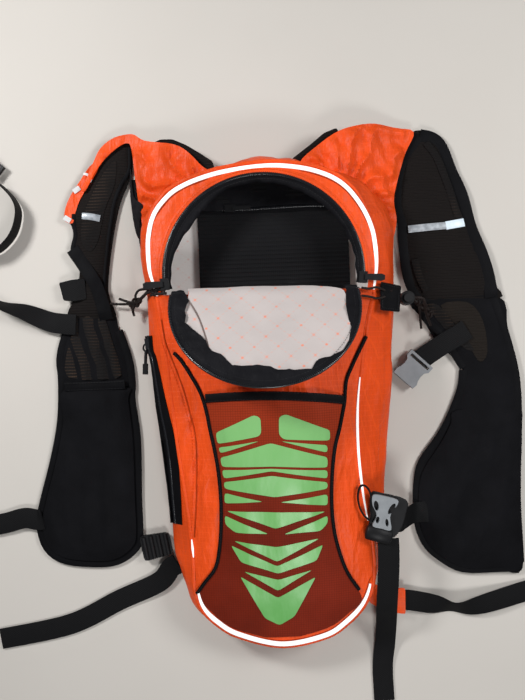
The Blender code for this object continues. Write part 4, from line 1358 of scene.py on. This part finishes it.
def build_yokes():
    """Creased orange cloth from the bag's top corners to the shoulder parts."""
    for side, outline, edge_x in (("left", LEFT_YOKE, -128.5), ("right", RIGHT_YOKE, 118.5)):
        sign = math.copysign(1, edge_x)
        shape = smooth_outline(outline, 4)
        height = gathered(edge_distance(shape), abs(edge_x), sign)
        sheet = draped(shape, height, 1.4, 1.9)
        made = piece("yoke_cloth_" + side, *sheet, "orange", None, "yoke_" + side)
        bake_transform(made)
    for side, line in NECK_EDGES.items():
        sheet = draped(rounded(line, 2), lambda x, y: 25.5 - 0.22 * max(0.0, abs(x) - 50), 1.6, 3.0)
        piece("neck_edge_" + side, *sheet, "dense knit", "bag")
    lower = [(-131, 216, 12), (-128, 190, 13), (-125, 160, 15), (-121, 132, 18)]
    piece("yoke_edge_left", *band(spline(lower, 6), 5, 2.0), "tape", "bag")
    cover = [
        (-133, 226), (-131, 200), (-124, 193), (-122, 186), (-126, 176), (-127, 159), (-131, 170),
        (-134, 200),
    ]
    flat = draped(smooth_outline(cover, 3), lambda x, y: 15.5, 1.4, 4.0)
    piece("yoke_patch_left", *flat, "facing", "bag")


def build_harness_left():
    """Left shoulder part and vest with their mesh, tapes and marks."""
    body = "harness_left"
    height = soft_panel("shoulder", "left", LEFT_SHOULDER, "dense knit", 3.0, 4.5, 1.1)
    rib = [
        (-148, 236), (-158, 228), (-171, 207), (-182, 182), (-184, 160), (-176, 150), (-168, 160),
        (-160, 190), (-150, 214),
    ]
    patch("shoulder_mesh_left", rib, height, 0.6, "knit", body, thick=0.7, step=4.0, steps=4)
    for name, width, lift, line in LEFT_SHOULDER_TAPES:
        trim(name, line, width, lift, height, body)
    face = [
        (-165, 236), (-174, 232), (-183, 219), (-191, 208), (-197, 197), (-200, 186), (-199, 180),
        (-192, 178), (-189, 188), (-184, 201), (-167, 227),
    ]
    patch("outer_face_left", face, lambda x, y: ripple(x, y, 0, 12, 0.5), 6.0, "orange", body, thick=1.0)
    for number, (width, line) in enumerate(OUTER_MARKS):
        path = spline([(x, y, 6.6) for x, y in line], 4)
        piece(f"outer_mark_left_{number}", *band(path, width, 0.6), "block", body)
    reflector = [(-182, 184), (-174, 183), (-165, 181)]
    trim("reflector_cloth_left", reflector, 6.5, 1.3, height, body, "silver", ["reflector_left"])
    keeper = [(-207, 120.8), (-195, 123), (-182, 124), (-181, 104.2), (-192, 102.6), (-203, 103.3)]
    sheet = draped(rounded(keeper, 1.5), lambda x, y: 9.4 - 0.12 * abs(x + 190), 1.4, 3.0)
    piece("keeper_web_left", *sheet, "web", body, "keeper_left")

    height = soft_panel("vest", "left", LEFT_VEST, "black", 2.0, 3.0, 0.9)

    def pleated(x, y):
        return height(x, y) + 1.1 * math.sin((x + 0.25 * y) * 0.42 + 1.6 * waver(x, y, 0, 20))

    window = [
        (-197, 72), (-194, 88), (-180, 95), (-166, 88), (-158, 62), (-152, 40), (-155, 27), (-201, 29),
        (-204, 46),
    ]
    patch("vest_window_left", window, pleated, 0.5, "window", body, step=2.5)
    shape = smooth_outline(LEFT_VEST_POCKET, 4)
    puff = puffed(shape, 5.2, 4.6, 16, 1.5, (1.5, 0.3, 1))
    piece("vest_pocket_cloth_left", *draped(shape, puff, 1.2, 3.0), "black", body, "vest_pocket_left")
    trim("vest_hem_left", [(-205, 21), (-190, 20), (-165, 20), (-147, 21)], 9, 1.2, puff, body)
    trim("vest_edge_left", LEFT_VEST[1:21], 7.5, 0.5, height, body, steps=4)
    for number, away in enumerate((-3.2, 3.2)):
        y = 20.4 + away
        line = [Vector((x, y, puff(x, y) + 2.0)) for x in range(-204, -148, 3)]
        piece(f"vest_stitch_left_{number}", *dashes(line, 2.8, 1.8, 0.4), "thread", body)


def build_harness_right():
    """Right shoulder part and vest with their mesh, tapes and reflectors."""
    body = "harness_right"
    height = soft_panel("shoulder", "right", RIGHT_SHOULDER, "dense knit", 3.0, 3.6, 1.2)
    for name, width, lift, cloth, replaced, line in RIGHT_SHOULDER_BANDS:
        trim(name, line, width, lift, height, body, cloth, replaced)
    height = soft_panel("vest", "right", RIGHT_VEST, "black", 2.4, 3.4, 1.6)
    rib = [(147, 86), (158, 70), (172, 52), (184, 42), (190, 43), (176, 62), (158, 86)]
    patch("vest_window_right", rib, height, 0.5, "window", body)
    # Painted highlight: a lighter brown patch stands in for a sheen on the vest's mesh.
    glow = [(160, 86), (186, 88), (200, 70), (203, 40), (196, 30), (188, 42), (176, 64)]
    patch("vest_painted_sheen_right", glow, height, 0.45, "sheer", body)
    trim("vest_hem_right", [(140, 92), (160, 99), (186, 101), (211, 99)], 15, 0.8, height, body)
    shape = smooth_outline(RIGHT_VEST_POCKET, 4)
    puff = puffed(shape, 5.2, 4.6, 18, 2.4, (1.0, 0.45, 1))
    piece("vest_pocket_cloth_right", *draped(shape, puff, 1.2, 3.0), "black", body, "vest_pocket_right")
    for name, width, lift, line in RIGHT_VEST_TAPES:
        trim(name, line, width, lift, height, body, steps=4)


# ---------------------------------------------------------------- straps and buckles

def strap(name, points, body, *replaced, side=None, turns=None):
    """A length of webbing through the given points."""
    path = spline(points, 8)
    rolled = [turns(i / (len(path) - 1)) for i in range(len(path))] if turns else None
    return piece(name, *band(path, WEB_W, WEB_T, side, rolled), "web", body, *replaced)


def half_flip(share):
    """Degrees of turn of a strap that rolls over and back halfway along."""
    return 50 * math.exp(-((share - 0.5) / 0.12) ** 2)


def on_edge(share):
    """Degrees of turn of a strap that starts flat and soon stands on its edge."""
    return min(90.0, max(0.0, (share - 0.12) * 330))


def build_straps():
    """Webbing of the chest, the waist and the lower corners, one tab and one loop."""
    line = [
        (-102, -153, 9), (-109.5, -158, 5), (-122, -172, 3), (-160, -188, 1.5), (-209, -210, 1.2),
        (-277, -222, 1.2),
    ]
    strap("lower_web_left", line, "bag", "lower_strap_left", "anchor_left")
    line = [
        (108, -196, 9), (120, -197.5, 5), (149, -203, 5), (178, -205, 8), (231, -194, 2.5),
        (250, -190, 1.6),
    ]
    strap("lower_web_right", line, "bag", "lower_strap_right", turns=half_flip)
    tab = [(84, -178), (98, -184), (115, -184), (114.5, -209), (97, -206), (80, -196)]
    sheet = draped(rounded(tab, 2), lambda x, y: 12 - 0.06 * (x - 80) + ripple(x, y, 0, 14, 0.5), 1.2, 3.0)
    piece("anchor_tab_right", *sheet, "orange", "bag", "anchor_right")
    line = [
        (-192, 80, 8), (-203, 81, 7), (-218, 84, 5.8), (-241, 94, 7), (-262, 101, 10), (-281, 114, 12),
        (-288, 133, 12), (-280, 148, 12), (-263, 153, 12), (-248, 168, 12), (-242, 188, 12),
        (-246, 202, 12), (-258, 216, 12),
    ]
    strap("chest_web_left", line, "chest_strap_left", "chest_strap_left", turns=on_edge)
    line = [(-231, -106, 7), (-236.5, -107, 5), (-249, -105, 4), (-266, -109, 3), (-284, -112, 3)]
    strap("waist_web_left", line, "waist_strap_left", "waist_strap_left")
    line = [(184, 62, 8.5), (174, 56, 8.5), (163, 50, 8), (146, 39.5, 7.6), (137.5, 33.8, 8.6)]
    strap("chest_web_right", line, "chest_strap_right", "chest_strap_right")
    line = [
        (94, -126, 50), (94.5, -140, 47.5), (94.5, -155, 44), (94, -168, 41), (93.5, -182, 37),
        (93.5, -196, 31), (94.5, -214, 18), (94.5, -238, 5), (92, -262, 1.5), (92.5, -295, 1.2),
    ]
    strap("waist_web_tail", line, "bag", "waist_strap_tail")
    line = [(140, -112, 8), (128, -112.5, 8), (117, -113, 24), (108, -112, 43), (99, -110, 48)]
    made = strap("waist_web_short", line, None, "waist_web_stub", side=(0.1, 1, 0))
    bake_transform(made)
    line = [(79.5, -85, 52), (75.5, -77.5, 52.5), (70.5, -77, 52.5), (67.8, -86, 52), (69.4, -97, 51.5),
            (74, -105, 51), (79.5, -108, 51), (79, -96, 51.5)]
    loop = spline(line, 6, closed=True)
    piece("elastic_loop", *band(loop, 3.4, 1.8, side=(0, 0, 1), closed=True), "web", "waist_male")


def carve(made, solids):
    """Cut holes through a piece and apply the result."""
    for verts, faces in solids:
        tool = linked("tool", outward_mesh("tool", verts, faces))
        cut = made.modifiers.new("cut", "BOOLEAN")
        cut.operation = "DIFFERENCE"
        cut.solver = "EXACT"
        cut.object = tool
        graph = bpy.context.evaluated_depsgraph_get()
        result = bpy.data.meshes.new_from_object(made.evaluated_get(graph))
        made.modifiers.clear()
        made.data = result
        bpy.data.objects.remove(tool, do_unlink=True)


def turned_oval(x, y, a, b, degrees):
    """An oval turned about its middle."""
    turn = math.radians(degrees)
    out = []
    for angle in around(OVAL_SIDES):
        u, v = a * math.cos(angle), b * math.sin(angle)
        out.append((x + u * math.cos(turn) - v * math.sin(turn), y + u * math.sin(turn) + v * math.cos(turn)))
    return out


def build_buckles():
    """Waist buckle with its plate painted grey as a painted highlight on the black plastic, tension bar and
    black back; the other buckles keep their CAD shape.
    """
    plate = [
        (82.2, -84.9), (92, -86.6), (103.2, -90.3), (102.6, -95), (98.4, -100), (95.8, -106),
        (96.4, -117.2), (88, -115.6), (79.9, -112.9), (83.4, -106), (83.6, -101), (80.8, -95),
        (80.2, -89),
    ]
    # Painted highlight: the plate is the lit top of the black buckle, coloured grey.
    solid = prism(smooth_outline(plate, 3), 50.6, 54.2)
    made = piece("waist_male_plate", *solid, "grey plastic", "waist_male", "waist_buckle_male")
    holes = [turned_oval(83.9, -94.8, 2.2, 4.6, 8), turned_oval(97.7, -98.2, 2.3, 5.6, -34),
             turned_oval(84.6, -107.6, 1.7, 3.1, -10), turned_oval(92.9, -110.4, 1.5, 3.6, 4)]
    carve(made, [prism(hole, 46, 60) for hole in holes])
    add_bevel(made, 0.8)
    back = [
        (80.5, -83.6), (90, -84.6), (112, -91.4), (111.4, -103), (106, -118), (96, -126), (78, -118),
        (79.4, -100),
    ]
    solid = prism(smooth_outline(back, 3), 46.4, 50.2)
    add_bevel(piece("waist_male_back", *solid, "black plastic", "waist_male"), 0.9)
    a, b = Vector((73.8, -118.0, 50.6)), Vector((97.4, -125.0, 50.6))
    along = (b - a).normalized()
    across = Vector((-along.y, along.x, 0))
    rings = []
    for share, r in ((0, 3.6), (0.025, 5.6), (0.07, 7.0), (0.5, 7.3), (0.93, 7.0), (0.975, 5.6), (1, 3.6)):
        rings.append([a.lerp(b, share) + across * (r * math.cos(t)) + Vector((0, 0, 0.62 * r * math.sin(t)))
                      for t in around(24)])
    piece("waist_male_bar", *loft(rings), "black plastic", "waist_male")
    # The chest buckle's female part is coloured grey too, as a painted highlight.
    for node, cloth in (("chest_buckle_female", "grey plastic"), ("waist_buckle_female", "black plastic"),
                        ("chest_buckle_male", "black plastic"), ("ladder_lock_right", "black plastic")):
        soften(node, cloth, 0.9)
    place = Matrix.Translation((-137, -138.5, 3.2)) @ Matrix.Rotation(math.radians(10), 4, "Z")
    outline = rounded([(0.4, -12.5), (29, -10.5), (29, 10.5), (0.4, 12.5)], 4)
    solids = [prism(outline, 0.2, 3.6)]
    for k in range(4):
        path = [Vector((4 + 7 * k, y, 4.2)) for y in (-10.4, -9, 0, 9, 10.4)]
        solids.append(tube(path, 2.2, 12))
    piece("ladder_body_left", *moved(merge(solids), place), "black plastic", "ladder_left",
          "ladder_lock_left")


# ---------------------------------------------------------------- cords and small parts

def build_cord(side, points):
    """A limp elastic cord from the bag's top corner, in the place of the CAD one."""
    name = "cord_" + side
    curve = bpy.data.curves.new(name, "CURVE")
    curve.dimensions = "3D"
    curve.bevel_depth = CORD_R * MM
    curve.bevel_resolution = 3
    curve.use_fill_caps = True
    line = curve.splines.new("POLY")
    path = spline(points, 4)
    line.points.add(len(path) - 1)
    for point, p in zip(line.points, path):
        point.co = (*(p * MM), 1.0)
    made = linked(name, curve)
    made.data.materials.append(CLOTH["cord"])
    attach(made, "bag")
    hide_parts("bungee_" + side)


def knot(name, centre, size, body):
    """A small overhand knot: a closed trefoil of cord."""
    path = []
    for t in around(60):
        path.append(Vector((math.sin(t) + 2 * math.sin(2 * t), math.cos(t) - 2 * math.cos(2 * t),
                            -math.sin(3 * t))) * size / 3 + Vector(centre))
    return piece(name, *tube(path, 1.25, 8, closed=True), "cord", body)


def build_lock_spring():
    """The spring inside the cord lock: it slides with the barrel."""
    low, high = (Vector(corner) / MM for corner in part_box("cord_lock_spring"))
    middle = (low + high) / 2
    radius = (high.x - low.x) / 2 - 0.25
    wire = []
    for k in range(61):
        a = 2 * math.pi * k / 12
        z = low.z + 0.25 + (high.z - low.z - 0.5) * k / 60
        wire.append(Vector((middle.x + radius * math.cos(a), middle.y + radius * math.sin(a), z)))
    made = piece("lock_spring_turns", *tube(wire, 0.22, 6), "zip", "cord_lock", "cord_lock_spring",
                 slot="slider_metal")
    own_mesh(made)


def build_cords():
    """Elastic cords at both top corners: a bow at the left, patch and cord lock at the right."""
    low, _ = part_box("bungee_right")
    build_cord("right", [(low[0] / MM + 2, 99, 52), (105, 95, 47), (112, 92, 40), (114, 92, 38.5),
                         (134, 92, 38.5), (139, 86, 33), (142, 78, 22), (148, 67, 12)])
    build_cord("left", [(-115, 106, 52), (-124, 101, 36), (-129, 100, 24), (-137, 98, 12), (-149, 98, 9),
                        (-158, 99, 9)])
    knot("knot_left", (-131, 99, 17), 4.2, "bag")
    knot("knot_left_low", (-136, 96, 13), 3.0, "bag")
    knot("knot_left_rim", (-108, 104.5, 60), 3.0, "bag")
    bow = spline([(-131, 99, 19), (-130, 104, 30), (-125, 108, 40), (-116, 108, 50), (-109, 105.5, 58),
                  (-116, 104, 52), (-124, 100, 36), (-131, 98, 20)], 6)
    ends = [spline([(-133, 98, 17), (-141, 100, 13), (-149, 103, 11)], 5),
            spline([(-134, 97, 15), (-136, 91, 12), (-135, 86, 11)], 5)]
    piece("bow_left", *merge([tube(line, 1.2, 8) for line in [bow] + ends]), "cord", "bag")
    wraps = [spline([(-111, 109, 57), (-104, 106.5, 61.5), (-98, 105, 63)], 5),
             spline([(-112, 102, 56), (-104, 102.5, 61.5), (-97, 102.5, 63)], 5)]
    piece("wrap_left", *merge([tube(line, 1.3, 8) for line in wraps]), "cord", "bag")
    for number, (dy, dz) in enumerate(((3, 1), (-4, 0))):
        line = spline([(76, 98 + dy, 66), (83, 97 + dy, 64.5 + dz), (90, 97 + dy * 1.4, 61 + dz),
                       (98, 96 + dy * 0.8, 57)], 6)
        piece("patch_cord_%d" % number, *tube(line, 1.1, 8), "cord", "bag")
    tails = [[(140, 88, 17), (146, 82, 14), (149, 77, 12)], [(136, 86, 20), (138, 74, 14), (139, 64, 12)]]
    piece("tails_right", *merge([tube(spline(line, 5), 1.2, 8) for line in tails]), "cord", "bag")
    for number, at in enumerate(((134, 90, 24), (141, 84, 17), (147, 78, 14))):
        knot("knot_right_%d" % number, at, 3.3, "bag")
    outline = rounded([(94.5, 106.5), (114.8, 103), (112.4, 79), (93.2, 81)], 1.5)
    sheet = draped(outline, lambda x, y: 58.5 - 0.55 * (x - 93) + ripple(x, y, 0, 12, 0.5), 1.5, 3.0)
    piece("patch_cloth", *sheet, "tape", "bag", "cord_patch")
    edge = [(96.5, 104), (112.6, 101), (110.6, 81.2), (95.2, 83), (96.5, 104)]
    line = [Vector((x, y, 59.2 - 0.55 * (x - 93) + 0.3)) for x, y in edge]
    piece("patch_stitches", *dashes(line, 2.6, 1.6, 0.4), "thread", "bag")
    for node in ("cord_lock_barrel", "cord_lock_button"):
        soften(node, "black plastic", 0.9)
    build_lock_spring()


# ---------------------------------------------------------------- stage

def build_stage():
    """Floor, camera, lamps and a dim world."""
    bpy.ops.mesh.primitive_plane_add(size=6, location=(0, 0, -0.0005))
    floor = bpy.context.object
    floor.name = "floor"
    g = Graph("floor", (0.55, 0.52, 0.48), 0.85)
    g.colour(g.mix(g.noise(6, 4), (0.53, 0.50, 0.46), (0.58, 0.55, 0.51)))
    floor.data.materials.append(g.material)
    camera = bpy.data.objects.new("camera", bpy.data.cameras.new("camera"))
    camera.location = CAMERA_AT
    camera.rotation_euler = (0, 0, CAMERA_TURN)
    camera.data.lens = CAMERA_LENS
    camera.data.clip_start = 0.01
    bpy.context.collection.objects.link(camera)
    bpy.context.scene.camera = camera
    bpy.context.scene.view_settings.view_transform = "Standard"
    for name, at, size, power in LIGHTS:
        light = bpy.data.objects.new(name, bpy.data.lights.new(name, "AREA"))
        light.data.size = size
        light.data.energy = power
        light.location = at
        light.rotation_euler = (UP * 0 - Vector(at)).to_track_quat("-Z", "Y").to_euler()
        bpy.context.collection.objects.link(light)
    world = bpy.data.worlds.new("studio")
    world.use_nodes = True
    world.node_tree.nodes["Background"].inputs["Color"].default_value = (0.95, 0.97, 1.0, 1)
    world.node_tree.nodes["Background"].inputs["Strength"].default_value = 0.12
    bpy.context.scene.world = world


def main():
    build_stage()
    build_cords()
    build_wall()
    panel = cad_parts["front_panel"]
    ground = height_over(tree_of(panel.data, panel.matrix_world))
    build_panel()
    build_piping()
    build_left_seam(height_over(tree_of(bpy.data.objects["front_cloth"].data)))
    build_pocket(ground)
    build_opening()
    build_flap()
    build_inside()
    build_side_zip()
    build_yokes()
    build_harness_left()
    build_harness_right()
    build_straps()
    build_buckles()


main()
